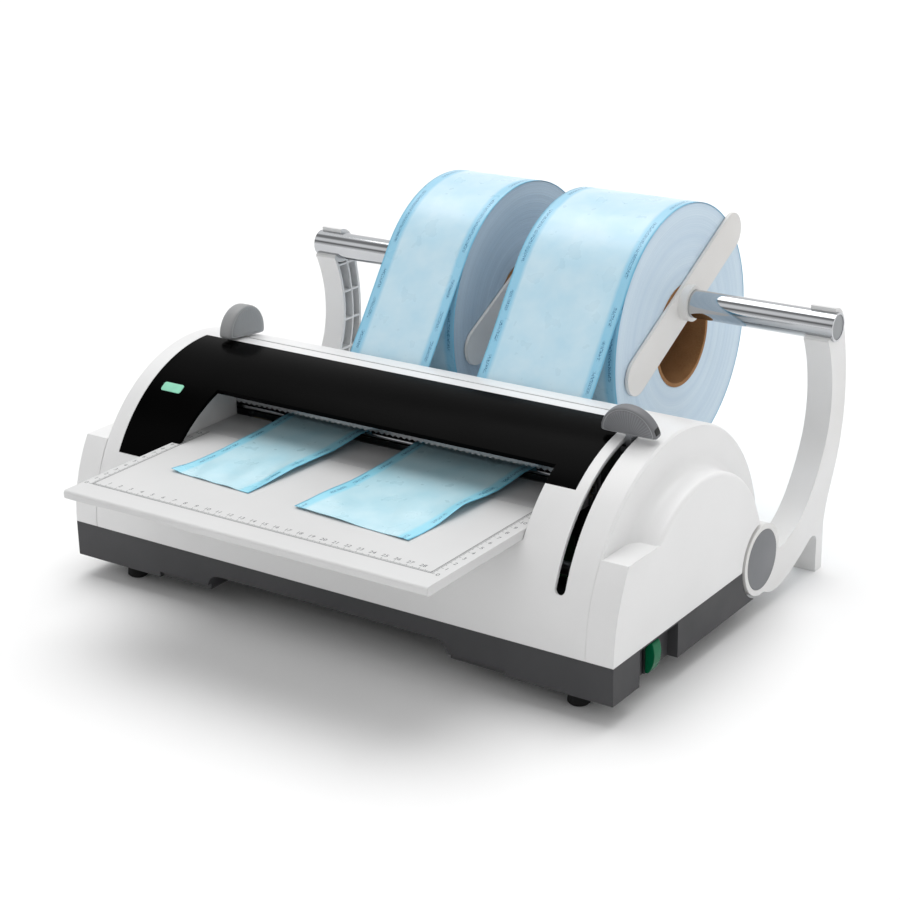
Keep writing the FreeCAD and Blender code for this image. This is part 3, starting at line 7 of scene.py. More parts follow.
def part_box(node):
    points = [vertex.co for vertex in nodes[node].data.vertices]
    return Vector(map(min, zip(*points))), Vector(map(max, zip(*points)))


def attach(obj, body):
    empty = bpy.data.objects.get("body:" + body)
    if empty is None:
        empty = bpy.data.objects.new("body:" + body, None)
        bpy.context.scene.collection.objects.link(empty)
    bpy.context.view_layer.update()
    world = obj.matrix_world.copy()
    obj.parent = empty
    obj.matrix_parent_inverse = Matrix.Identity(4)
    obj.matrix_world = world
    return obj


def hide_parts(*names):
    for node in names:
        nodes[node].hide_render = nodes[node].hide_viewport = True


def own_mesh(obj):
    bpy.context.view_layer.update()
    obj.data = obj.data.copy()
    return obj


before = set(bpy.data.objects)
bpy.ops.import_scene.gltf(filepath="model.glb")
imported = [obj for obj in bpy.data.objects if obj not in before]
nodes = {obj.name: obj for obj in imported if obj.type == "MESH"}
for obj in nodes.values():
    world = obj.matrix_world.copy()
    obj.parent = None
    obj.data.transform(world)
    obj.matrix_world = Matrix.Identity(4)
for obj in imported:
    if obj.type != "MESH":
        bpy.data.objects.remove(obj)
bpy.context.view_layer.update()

# Camera of the photograph. Its place, turn and tilt were solved on the ruler of the tray and on the
# drum's edges, with a small roll.
azimuth, elevation, roll = math.radians(34.90), math.radians(20.46), math.radians(-1.11)
camera_place = (0.8436, -1.21465, 0.6472)
back = Vector((math.sin(azimuth) * math.cos(elevation), -math.cos(azimuth) * math.cos(elevation),
               math.sin(elevation)))
right = Vector((math.cos(azimuth), math.sin(azimuth), 0.0))
up = back.cross(right)
turned_right = math.cos(roll) * right + math.sin(roll) * up
turned_up = -math.sin(roll) * right + math.cos(roll) * up
lens = bpy.data.cameras.new("camera")
lens.lens = 83.42
lens.sensor_width = 36.0
lens.clip_end = 100.0
camera = bpy.data.objects.new("camera", lens)
turn = Matrix((turned_right, turned_up, back)).transposed().to_4x4()
camera.matrix_world = Matrix.Translation(camera_place) @ turn
bpy.context.scene.collection.objects.link(camera)
bpy.context.scene.camera = camera


# Housing and roll arms: white ABS, injection moulded with a fine spark grain and soft edges. The housing
# is one shell screwed up from below, each arm a ribbed channel on its hub.
def rgb(code):
    """Linear colour from an sRGB hex code."""
    parts = [int(code[i:i + 2], 16) / 255 for i in (0, 2, 4)]
    return [p / 12.92 if p <= 0.04045 else ((p + 0.055) / 1.055) ** 2.4 for p in parts] + [1.0]


def add(tree, kind, *inputs, out=0, **given):
    """Adds a shader node with its settings and links, and gives one of its outputs. The inputs go to its
    sockets in order. Of the named values, i6 is socket 6, a capital starts a socket's own name, and the
    others are settings."""
    node = tree.nodes.new("ShaderNode" + kind)
    sockets = dict(enumerate(inputs))
    for key, value in given.items():
        if key[0] == "i" and key[1:].isdigit():
            sockets[int(key[1:])] = value
        elif key[0].isupper():
            sockets[key] = value
        else:
            setattr(node, key, value)
    for place, value in sockets.items():
        if isinstance(value, bpy.types.NodeSocket):
            tree.links.new(value, node.inputs[place])
        else:
            node.inputs[place].default_value = value
    return node.outputs[out]


def material(name, **values):
    """Principled material with these sockets set. Gives it, its tree, its shader's sockets and the place
    on the piece in mm."""
    mat = bpy.data.materials.new(name)
    mat.use_nodes = True
    tree = mat.node_tree
    shader = tree.nodes["Principled BSDF"].inputs
    for key, value in values.items():
        shader[key.replace("_", " ")].default_value = value
    where = add(tree, "TexCoord", out="Object")
    mm = add(tree, "VectorMath", operation="SCALE", Vector=where, Scale=1000.0)
    return mat, tree, shader, mm


def relief(tree, shader, height, depth, edge=0.0):
    """Bump of that depth in mm, over edges that look rounded to that radius in mm."""
    bump = {"Strength": 1.0, "Distance": depth / 1000.0, "Height": height}
    if edge:
        bump["Normal"] = add(tree, "Bevel", samples=6, Radius=edge / 1000.0)
    tree.links.new(add(tree, "Bump", **bump), shader["Normal"])


def plastic(name, code, dark, roughness, grain=0.8, depth=0.004, edge=0.5, gloss=0.5):
    """Moulded plastic. Its tone drifts between two colours in clouds of 90 mm, its roughness by an
    eighth up and down in clouds of 35 mm, and a spark grain of that size and depth in mm dulls it. A
    real grain is 0.1 to 0.2 mm, too fine for the render, so it is drawn several times as coarse."""
    mat, tree, shader, mm = material(name, Specular_IOR_Level=gloss)
    cloud = add(tree, "TexNoise", Vector=mm, Scale=1 / 90.0, Detail=2.0, Roughness=0.5)
    drift = add(tree, "MapRange", cloud, 0.35, 0.65)
    tone = add(tree, "Mix", drift, data_type="RGBA", i6=rgb(code), i7=rgb(dark), out=2)
    tree.links.new(tone, shader["Base Color"])
    patch = add(tree, "TexNoise", Vector=mm, Scale=1 / 35.0, Detail=4.0, Roughness=0.5)
    sheen = add(tree, "MapRange", patch, 0.3, 0.7, roughness * 0.88, roughness * 1.12)
    tree.links.new(sheen, shader["Roughness"])
    spark = add(tree, "TexNoise", Vector=mm, Scale=1 / grain, Detail=2.0, Roughness=0.5)
    relief(tree, shader, spark, depth, edge)
    return mat


def dress(mat, *names):
    """Gives these CAD nodes that one material."""
    for name in names:
        nodes[name].data.materials.clear()
        nodes[name].data.materials.append(mat)


# White ABS: an even satin white whose highlights are broad and soft.
dress(plastic("white_abs", "E7E7E7", "E2E2E2", 0.34, edge=0.7), "upper_housing")
# The arms' ABS: a little duller and warmer, from another mould.
dress(plastic("arm_abs", "E4E4E4", "DCDBD9", 0.4), "arm_right", "arm_left")


# Base: a moulded tub of dark grey ABS with a coarser texture. It stands on four rubber feet, and
# zinc-plated screws close it from below and hold the arms' hubs.
def metal(name, code, roughness, stretch=(1.0, 1.0, 1.0), depth=0.004, edge=0.15):
    """Metal with fine lines, drawn out along the axis whose stretch is small. Its tone drifts to 0.86 of
    itself in clouds of 30 mm. Real lines are under 0.1 mm apart, so they are drawn at 0.5 mm."""
    mat, tree, shader, mm = material(name, Metallic=1.0)
    drawn = add(tree, "VectorMath", mm, stretch, operation="MULTIPLY")
    lines = add(tree, "TexNoise", Vector=drawn, Scale=1 / 0.5, Detail=3.0, Roughness=0.5)
    worn = [0.86 * part for part in rgb(code)[:3]] + [1.0]
    cloud = add(tree, "TexNoise", Vector=mm, Scale=1 / 30.0, Detail=2.0, Roughness=0.5)
    tone = add(tree, "Mix", cloud, data_type="RGBA", i6=rgb(code), i7=worn, out=2)
    tree.links.new(tone, shader["Base Color"])
    sheen = add(tree, "MapRange", lines, 0.3, 0.7, roughness * 0.8, roughness * 1.25)
    tree.links.new(sheen, shader["Roughness"])
    relief(tree, shader, lines, depth, edge)
    return mat


# Dark ABS: its deep texture scatters the light, so it shows no clear highlight.
dress(plastic("base_abs", "434345", "3D3D3F", 0.55, grain=0.6, depth=0.02, gloss=0.35), "base_tub")
# Rubber: nearly black and matt.
dress(plastic("rubber", "151515", "1B1B1B", 0.75, grain=0.7, depth=0.05, edge=0.4, gloss=0.3), "rubber_feet")
# Zinc-plated sheet steel: a blurred grey reflection with the lines of rolling along y.
steel = metal("steel_plate", "A9ABAF", 0.36, stretch=(1.0, 0.1, 1.0))
dress(steel, "base_screws", "hub_screws")


# Front cover: gloss black ABS set flush into the drum, with a light pipe of mint acrylic over the pilot
# lamp on its small board.

# Polished black ABS: faint and slightly blurred reflections. The photo's cover mirrors far less than
# bare ABS would, so its IOR is matched to that and not to the plastic's own.
cover = plastic("cover_black", "030303", "050505", 0.2, grain=1.5, depth=0.0006, edge=0.4)
cover.node_tree.nodes["Principled BSDF"].inputs["IOR"].default_value = 1.07
dress(cover, "front_cover")

# Frosted mint acrylic: lit from behind, a little unevenly.
mint, tree, shader, mm = material("mint_acrylic", Base_Color=rgb("8CD0B4"), Roughness=0.22,
                                  Emission_Color=rgb("8CE4C2"))
spread = add(tree, "TexNoise", Vector=mm, Scale=1 / 7.0, Detail=1.0, Roughness=0.5)
glow = add(tree, "MapRange", spread, 0.3, 0.7, 0.06, 0.14)
tree.links.new(glow, shader["Emission Strength"])
frost = add(tree, "TexNoise", Vector=mm, Scale=1 / 1.5, Detail=3.0, Roughness=0.5)
relief(tree, shader, frost, 0.002, 0.6)
dress(mint, "indicator_lens")

# Solder mask on the boards: a smooth green lacquer with a clear shine.
mask = plastic("solder_mask", "0E5A30", "0B4C28", 0.3, grain=2.5, depth=0.01, edge=0.1)
dress(mask, "lamp_board", "control_board")


# Ruler tray and table plate: satin ABS. The scale is pad-printed in grey ink: a front line and a line at
# each side, with a tick each millimetre and a number each centimetre.

# Tray ABS: a light grey white, satin, with a very fine grain.
dress(plastic("tray_abs", "D6D6D6", "D2D2D2", 0.4, grain=0.7, depth=0.005, edge=0.6), "ruler_tray")
# Plate ABS: the same finish, a shade darker.
dress(plastic("plate_abs", "CDCDCE", "C8C8C9", 0.4, grain=0.7, depth=0.005, edge=0.6), "table_plate")

# Printing ink: a thin matt grey that is thinner in places, where the white shows through.
ink, tree, shader, mm = material("printing_ink", Roughness=0.55)
cloud = add(tree, "TexNoise", Vector=mm, Scale=1 / 0.9, Detail=2.0, Roughness=0.5)
wear = add(tree, "MapRange", cloud, 0.35, 0.7)
tone = add(tree, "Mix", wear, data_type="RGBA", i6=rgb("3C3F43"), i7=rgb("6E7174"), out=2)
tree.links.new(tone, shader["Base Color"])

# The scale's zero, its lengths, the width of its lines and the size and place of its numbers, in mm.
zero_x, zero_y = -146.6, -235.75
scale_width, scale_depth = 290, 126
right_x = zero_x + scale_width
print_lift = 0.03
print_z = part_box("ruler_tray")[1][2] * 1000.0 + print_lift
line_w = 0.36
digit_h = 3.7
digit_back, digit_out = 7.0, 6.0


def show(mesh, name, mat, body, *replaced):
    """Puts a mesh in the scene as a piece of that body, in place of the CAD nodes named."""
    mesh.materials.append(mat)
    piece = bpy.data.objects.new(name, mesh)
    bpy.context.scene.collection.objects.link(piece)
    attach(piece, body)
    if replaced:
        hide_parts(*replaced)
    return piece


def strips(corners):
    """Flat rectangles on the tray from rows (x0, y0, x1, y1) in mm, with the corners in turn."""
    x0, y0, x1, y1 = np.asarray(corners, float).T
    x = np.stack([x0, x1, x1, x0], 1)
    y = np.stack([y0, y0, y1, y1], 1)
    verts = np.stack([x, y, np.full_like(x, print_z)], 2).reshape(-1, 3) / 1000.0
    mesh = bpy.data.meshes.new("ruler_lines")
    mesh.from_pydata(verts.tolist(), [], np.arange(len(verts)).reshape(-1, 4).tolist())
    return mesh


def tick(n):
    """Length in mm of the tick at millimetre n: longest at a centimetre, middling at five."""
    return np.where(n % 10 == 0, 3.6, np.where(n % 5 == 0, 2.8, 2.0))


along = np.arange(scale_width + 1)
left_of, right_of = zero_x + along - line_w / 2, zero_x + along + line_w / 2
front_ticks = np.stack([left_of, np.full(along.shape, zero_y), right_of, zero_y + tick(along)], 1)
deep = np.arange(scale_depth + 1)
before, behind = zero_y + deep - line_w / 2, zero_y + deep + line_w / 2
left_ticks = np.stack([zero_x - tick(deep), before, np.full(deep.shape, zero_x), behind], 1)
right_ticks = np.stack([np.full(deep.shape, right_x), before, right_x + tick(deep), behind], 1)
rules = [(zero_x, zero_y - line_w, right_x, zero_y), (zero_x - line_w, zero_y, zero_x, zero_y + scale_depth),
         (right_x, zero_y, right_x + line_w, zero_y + scale_depth)]
show(strips(np.concatenate([front_ticks, left_ticks, right_ticks, rules])), "ruler_lines", ink, "machine")

labels = [(str(n), zero_x + 10 * n, zero_y + digit_back) for n in range(1, 29)]
for n in range(0, 13):
    labels.append((str(n), zero_x - digit_out, zero_y + 10 * n))
    labels.append((str(n), right_x + digit_out, zero_y + 10 * n))
digit_verts, digit_faces, first = [], [], 0
for text, x, y in labels:
    curve = bpy.data.curves.new("digit", "FONT")
    curve.body = text
    curve.size = digit_h / 1000.0 * 1.4
    curve.align_x, curve.align_y = "CENTER", "CENTER"
    curve.resolution_u = 3
    stamp = bpy.data.objects.new("digit", curve)
    mesh = bpy.data.meshes.new_from_object(stamp)
    places = np.empty(3 * len(mesh.vertices), np.float32)
    mesh.vertices.foreach_get("co", places)
    corners = np.empty(len(mesh.loops), np.int32)
    mesh.loops.foreach_get("vertex_index", corners)
    starts = np.empty(len(mesh.polygons), np.int32)
    mesh.polygons.foreach_get("loop_start", starts)
    digit_verts.append(places.reshape(-1, 3) + np.array([x, y, print_z]) / 1000.0)
    digit_faces += [face.tolist() for face in np.split(corners + first, starts[1:])]
    first += len(mesh.vertices)
    bpy.data.objects.remove(stamp)
    bpy.data.curves.remove(curve)
    bpy.data.meshes.remove(mesh)
digits = bpy.data.meshes.new("ruler_digits")
digits.from_pydata(np.concatenate(digit_verts).tolist(), [], digit_faces)
show(digits, "ruler_digits", ink, "machine")


# Thumb pieces: grey ABS half discs with rounded rims and crowned faces that carry fine grip ribs, fanned
# out from the foot. One sits on the sealing lever, the other across the drum on the cutter's stem.
# The drum's axis and radius, the height at which the arch meets the foot and that of the ribs' common
# point, in mm. The shares count from the middle of a face, 0, to the rim, 1.
drum_y, drum_z, drum_r = -44.25, 44.0, 122.0
foot_h, fan_y = 3.0, -4.0
ribs_round = 64.0
# Shares where the ribbed face ends, where the pale ring of painted highlight lies, and where the groove
# lies.
face_share, highlight_ring_share, groove_share = 0.83, 0.88, 0.85


def knob(name, code, dark, mouth):
    """Grey ABS, satin, whose faces carry fine ribs fanned out from a point under the foot, their crests
    lightened with painted highlight, and end in a pale ring of painted highlight. With a mouth, a black
    patch of painted shade on the right end stands for the dark inside of an open end. spot holds x and
    height in mm and the share of the way out from the middle."""
    mat, tree, shader, mm = material(name, Specular_IOR_Level=0.4)
    spot = add(tree, "Attribute", attribute_name="spot", out="Vector")
    x, high, share = add(tree, "SeparateXYZ", spot).node.outputs
    above = add(tree, "Math", high, -fan_y, operation="ADD")
    fan = add(tree, "Math", above, x, operation="ARCTAN2")
    turns = add(tree, "Math", fan, ribs_round, operation="MULTIPLY")
    wave = add(tree, "Math", turns, operation="SINE")
    ribs = add(tree, "MapRange", wave, -0.6, 0.6)
    on_face = add(tree, "MapRange", share, face_share + 0.03, face_share - 0.03)
    ribbed = add(tree, "Math", ribs, on_face, operation="MULTIPLY")
    cloud = add(tree, "TexNoise", Vector=mm, Scale=1 / 12.0, Detail=3.0, Roughness=0.5)
    tone = add(tree, "Mix", cloud, data_type="RGBA", i6=rgb(code), i7=rgb(dark), out=2)
    # The rib crests are lightened towards a pale grey: painted highlight.
    rib_crest_highlight = add(tree, "Math", ribbed, 0.2, operation="MULTIPLY")
    tone = add(tree, "Mix", rib_crest_highlight, data_type="RGBA", i6=tone, i7=rgb("A4A6A9"), out=2)
    # A pale ring just outside the groove: painted highlight.
    off_highlight_ring = add(tree, "Math", share, highlight_ring_share, operation="SUBTRACT")
    off_highlight_ring = add(tree, "Math", off_highlight_ring, operation="ABSOLUTE")
    painted_ring_highlight = add(tree, "MapRange", off_highlight_ring, 0.035, 0.01, 0.0, 0.3)
    tone = add(tree, "Mix", painted_ring_highlight, data_type="RGBA", i6=tone, i7=rgb("D4D5D6"), out=2)
    if mouth:
        # The open end of the handle's box, drawn as a black patch of painted shade on the closed rim: its
        # place, middle height and half height in mm, on the rim.
        mouth_x, mouth_h, mouth_half = 19.9, 6.0, 3.0
        right_end = add(tree, "MapRange", x, mouth_x, mouth_x + 0.3)
        off_mouth = add(tree, "Math", high, mouth_h, operation="SUBTRACT")
        off_mouth = add(tree, "Math", off_mouth, operation="ABSOLUTE")
        inside = add(tree, "MapRange", off_mouth, mouth_half + 0.2, mouth_half - 0.1)
        painted_hole_shade = add(tree, "Math", right_end, inside, operation="MULTIPLY")
        on_rim = add(tree, "MapRange", share, 0.975, 0.985)
        painted_hole_shade = add(tree, "Math", painted_hole_shade, on_rim, operation="MULTIPLY")
        # Black painted shade where the box's open end is.
        tone = add(tree, "Mix", painted_hole_shade, data_type="RGBA", i6=tone, i7=rgb("050505"), out=2)
    tree.links.new(tone, shader["Base Color"])
    patch = add(tree, "TexNoise", Vector=mm, Scale=1 / 6.0, Detail=3.0, Roughness=0.5)
    tree.links.new(add(tree, "MapRange", patch, 0.3, 0.7, 0.36, 0.48), shader["Roughness"])
    relief(tree, shader, ribbed, 0.06)
    return mat


def store(mesh, spot):
    """Keeps each point's place on the piece as an attribute, and shades the mesh smooth."""
    layer = mesh.attributes.new("spot", "FLOAT_VECTOR", "POINT")
    layer.data.foreach_set("vector", spot.reshape(-1).astype(np.float32))
    mesh.polygons.foreach_set("use_smooth", np.ones(len(mesh.polygons), bool))
    mesh.update()


def ring_mesh(name, points, spot, caps):
    """Smooth mesh from rows of points in mm that close round on themselves. Each face joins two
    neighbours of a row to the same two of the next row. With caps, a face closes the first row and one
    the last; without, the last row joins the first."""
    rows, cols = points.shape[:2]
    i, j = np.meshgrid(np.arange(rows - 1 if caps else rows), np.arange(cols), indexing="ij")
    below, beside = (i + 1) % rows, (j + 1) % cols
    quads = np.stack([i * cols + j, i * cols + beside, below * cols + beside, below * cols + j], -1)
    faces = quads.reshape(-1, 4).tolist()
    if caps:
        faces += [list(range(cols))[::-1], list(range((rows - 1) * cols, rows * cols))]
    mesh = bpy.data.meshes.new(name)
    mesh.from_pydata((points.reshape(-1, 3) / 1000.0).tolist(), [], faces)
    store(mesh, spot)
    return mesh


def thumb_piece(name, width, height, depth, power):
    """Half disc. The outline's reach from its middle is a soft minimum of the reach to the arch and to
    the flat foot; the section across it is a superellipse, with a groove round each face."""
    around, across = 120, 44
    t = np.linspace(0.0, 2 * math.pi, around, endpoint=False)
    middle = 0.42 * height
    half = width / 2
    bow = (half ** 2 + foot_h ** 2 - height ** 2) / (2 * (foot_h - height))
    radius = height - bow
    offset = middle - bow
    arch = -offset * np.sin(t) + np.sqrt(radius ** 2 - (offset * np.cos(t)) ** 2)
    foot = np.where(np.sin(t) < -1e-3, middle / np.maximum(-np.sin(t), 1e-3), 1e4)
    sharp = 16.0
    reach = (arch ** -sharp + foot ** -sharp) ** (-1 / sharp)
    phi = np.linspace(1.0, -1.0, across) * (math.pi / 2 - 0.002)
    share = np.abs(np.cos(phi)) ** (2 / power)
    side = np.sign(phi) * np.abs(np.sin(phi)) ** (2 / power)
    groove_depth, groove_width = 0.5, 0.03
    groove = groove_depth * np.exp(-((share - groove_share) / groove_width) ** 2)
    y = side * depth / 2 - np.sign(side) * groove
    x = np.outer(share, reach * np.cos(t))
    z = middle + np.outer(share, reach * np.sin(t))
    points = np.stack([x, np.repeat(y[:, None], around, 1), z], -1)
    spot = np.stack([x, z, np.repeat(share[:, None], around, 1)], -1)
    return ring_mesh(name, points, spot, True)


# Handle: a darker grey than the cutter's thumb piece.
lever_x, lever_angle, handle_lift = 192.0, 11.0, 3.5
handle = thumb_piece("seal_handle_grip", 43.0, 20.5, 10.0, 5.0)
drum_axis = Matrix.Translation((0, drum_y / 1000, drum_z / 1000))
lean = drum_axis @ Matrix.Rotation(math.radians(lever_angle), 4, "X")
handle.transform(lean @ Matrix.Translation((lever_x / 1000, 0, (drum_r + handle_lift) / 1000)))
show(handle, "seal_handle_grip", knob("handle_grey", "757679", "6D6E71", True), "press_lever", "seal_handle")

# Cutter's thumb piece: a paler grey, lightened with painted light from the front, turned a quarter so
# that its faces look sideways.
cutter_x, cut_y, cutter_lift = -177.0, -31.75, 1.0
tilt = math.asin((cut_y - drum_y) / drum_r)
crest = drum_z + drum_r * math.cos(tilt)
thumb = thumb_piece("cutter_grip", 42.4, 24.3, 12.9, 7.0)
stem = Matrix.Translation((cutter_x / 1000, cut_y / 1000, crest / 1000)) @ Matrix.Rotation(-tilt, 4, "X")
quarter = Matrix.Rotation(-math.pi / 2, 4, "Z")
thumb.transform(stem @ Matrix.Translation((0, 0, cutter_lift / 1000)) @ quarter)
show(thumb, "cutter_grip", knob("thumb_grey_lit", "98999A", "8E8F90", False), "cutter", "cutter_knob")


# Power switch and mains inlet: black nylon bodies snapped into the base, a gloss green rocker, tinned
# pins and a fuse cap.

# Black nylon: nearly black, satin, with a moulded grain.
switch_black = plastic("switch_nylon", "111112", "171718", 0.42, grain=0.5, depth=0.012, edge=0.25)
dress(switch_black, "switch_body", "mains_inlet", "fuse_holder", "end_switch")
# Polished green ABS: a deep green with small clear highlights on its rounded edges.
green = plastic("rocker_green", "04724A", "036440", 0.16, grain=2.0, depth=0.001, edge=0.8, gloss=0.14)
dress(green, "power_rocker")
# Tinned brass: bright and slightly blurred.
dress(metal("tinned", "C9CACC", 0.25), "inlet_pins")


# Exit of the film: a smoked polycarbonate strip with three joints, a serrated stainless edge riveted to
# it, and the chromed bar that the film slides over.
joint_places = (-45.8, 8.6, 105.5)

# Smoked polycarbonate: dark grey, smooth and glossy, with the black lines of its joints.
guard, tree, shader, mm = material("smoked_pc", Roughness=0.2, Specular_IOR_Level=0.4)
x = add(tree, "SeparateXYZ", mm)
joint = 0.0
for place in joint_places:
    gap = add(tree, "Math", x, place, operation="SUBTRACT")
    gap = add(tree, "Math", gap, operation="ABSOLUTE")
    line = add(tree, "MapRange", gap, 0.3, 0.7, 1.0, 0.0)
    joint = add(tree, "Math", joint, line, operation="MAXIMUM")
cloud = add(tree, "TexNoise", Vector=mm, Scale=1 / 60.0, Detail=3.0, Roughness=0.5)
body = add(tree, "Mix", cloud, data_type="RGBA", i6=rgb("343537"), i7=rgb("2B2C2E"), out=2)
tone = add(tree, "Mix", joint, data_type="RGBA", i6=body, i7=rgb("0C0C0D"), out=2)
tree.links.new(tone, shader["Base Color"])
skin = add(tree, "TexNoise", Vector=mm, Scale=1.0, Detail=3.0, Roughness=0.5)
relief(tree, shader, skin, 0.001, 0.3)
dress(guard, "tear_guard")

# Ground stainless steel: bright, with its grinding lines along x.
ground = metal("stainless_edge", "D5D7DA", 0.22, stretch=(0.05, 1.0, 1.0), depth=0.002)
dress(ground, "tear_edge", "cutter_blade")
# Chrome plate: a sharp mirror, so that its look is the room's.
dress(metal("chrome", "C6C8CB", 0.05, stretch=(0.02, 1.0, 1.0), depth=0.0002), "exit_bar", "roll_rod")
# Drawn aluminium: soft grey, with its drawing lines along x.
drawn = metal("aluminium", "C2C5C9", 0.34, stretch=(0.03, 1.0, 1.0))
dress(drawn, "pressure_bar", "heater_bar", "cutter_rail", "feed_guide")


# Inside the housing: zinc-plated steel frames, levers and springs, bronze bushes, silicone pad, coated
# tape, mineral insulators, nylon carriage, transformer and board parts.
dress(steel, "handle_lever", "lever_shaft", "shaft_cranks", "side_frames", "bar_yokes", "end_brackets",
      "return_springs", "heater_element", "thermostat")
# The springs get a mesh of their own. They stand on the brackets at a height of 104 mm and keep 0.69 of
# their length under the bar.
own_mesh(nodes["return_springs"])
# Sintered bronze: brown yellow and blurred.
dress(metal("bronze", "B98A4E", 0.35), "shaft_bushes")
# Silicone rubber: brick red and matt.
dress(plastic("silicone", "9C4A38", "8F4232", 0.6, depth=0.02), "silicone_pad")
# Glass cloth coated against sticking: brown and slightly rough.
dress(plastic("coated_tape", "8D714A", "7E6440", 0.45, grain=1.2, depth=0.04), "heater_tape")
# Pressed mineral board: chalky cream.
dress(plastic("insulator", "E3DDCC", "D8D1BE", 0.7, grain=0.5, depth=0.04), "heater_insulators")
# Natural nylon: milky and satin.
dress(plastic("nylon", "D6D4CC", "CCCAC1", 0.45, grain=0.9, depth=0.01), "cutter_carriage", "cut_bed")
# Varnished iron laminations: dark and uneven.
dress(plastic("laminations", "3A3A3E", "2F2F33", 0.5, grain=0.5, depth=0.03), "transformer_core")
# Enamelled copper wire: copper red, with its turns as deep lines along x.
dress(metal("winding", "B5713C", 0.35, stretch=(0.2, 1.0, 2.0), depth=0.03), "transformer_coil")
# Cases of the board's parts: dark grey epoxy, satin.
dress(plastic("components", "26282C", "303238", 0.45, depth=0.01), "board_parts")


# Rod ends, hub caps and dividers: grey and white ABS mouldings. The plugs are pressed into the rod, the
# caps over the hub screws, and the dividers clip on the rod beside the rolls.

# Plug ABS: mid grey and satin.
dress(plastic("plug_grey", "8F9295", "85888B", 0.4, edge=0.4), "rod_plugs")
# Cap ABS: a darker grey, a little glossier.
dress(plastic("cap_grey", "6F7175", "696B6F", 0.38, edge=0.3), "hub_caps")
# Divider ABS: a warm white with round edges.
dress(plastic("divider_white", "E3E2E0", "DBD9D6", 0.42, edge=0.8), "divider_a", "divider_b")


# Cardboard cores: spirally wound brown board with a fibrous surface, cut to the width of the film that
# is wound on them.

# Grey board: matt brown in patches, with paler fibres. The fibres are drawn at 0.5 mm, wider than real.
card, tree, shader, mm = material("cardboard", Roughness=0.85, Specular_IOR_Level=0.2)
fibre = add(tree, "TexNoise", Vector=mm, Scale=1 / 0.5, Detail=5.0, Roughness=0.65)
patch = add(tree, "TexNoise", Vector=mm, Scale=1 / 14.0, Detail=3.0, Roughness=0.5)
patch = add(tree, "MapRange", patch, 0.3, 0.7)
tone = add(tree, "Mix", patch, data_type="RGBA", i6=rgb("9A6F47"), i7=rgb("835A36"), out=2)
pale_fibre = add(tree, "MapRange", fibre, 0.35, 0.7)
tone = add(tree, "Mix", pale_fibre, data_type="RGBA", i6=tone, i7=rgb("A98058"), out=2)
tree.links.new(tone, shader["Base Color"])
relief(tree, shader, fibre, 0.05, 0.2)
dress(card, "core_a", "core_b")


# Sterilising film: a clear blue laminate on white paper, 75 and 100 mm wide, with a blue weld band along
# each edge and small printed marks. It is wound on the cores, runs to the guide and lies cut.
# In mm from the film's edge: where the weld band starts and is full, where the deep rim starts and is
# full, and the middle of the printed column, which reaches print_half to each side.
weld_in, weld_out = 10.5, 7.5
rim_in, rim_out = 1.6, 0.4
print_in, print_half = 5.0, 1.3


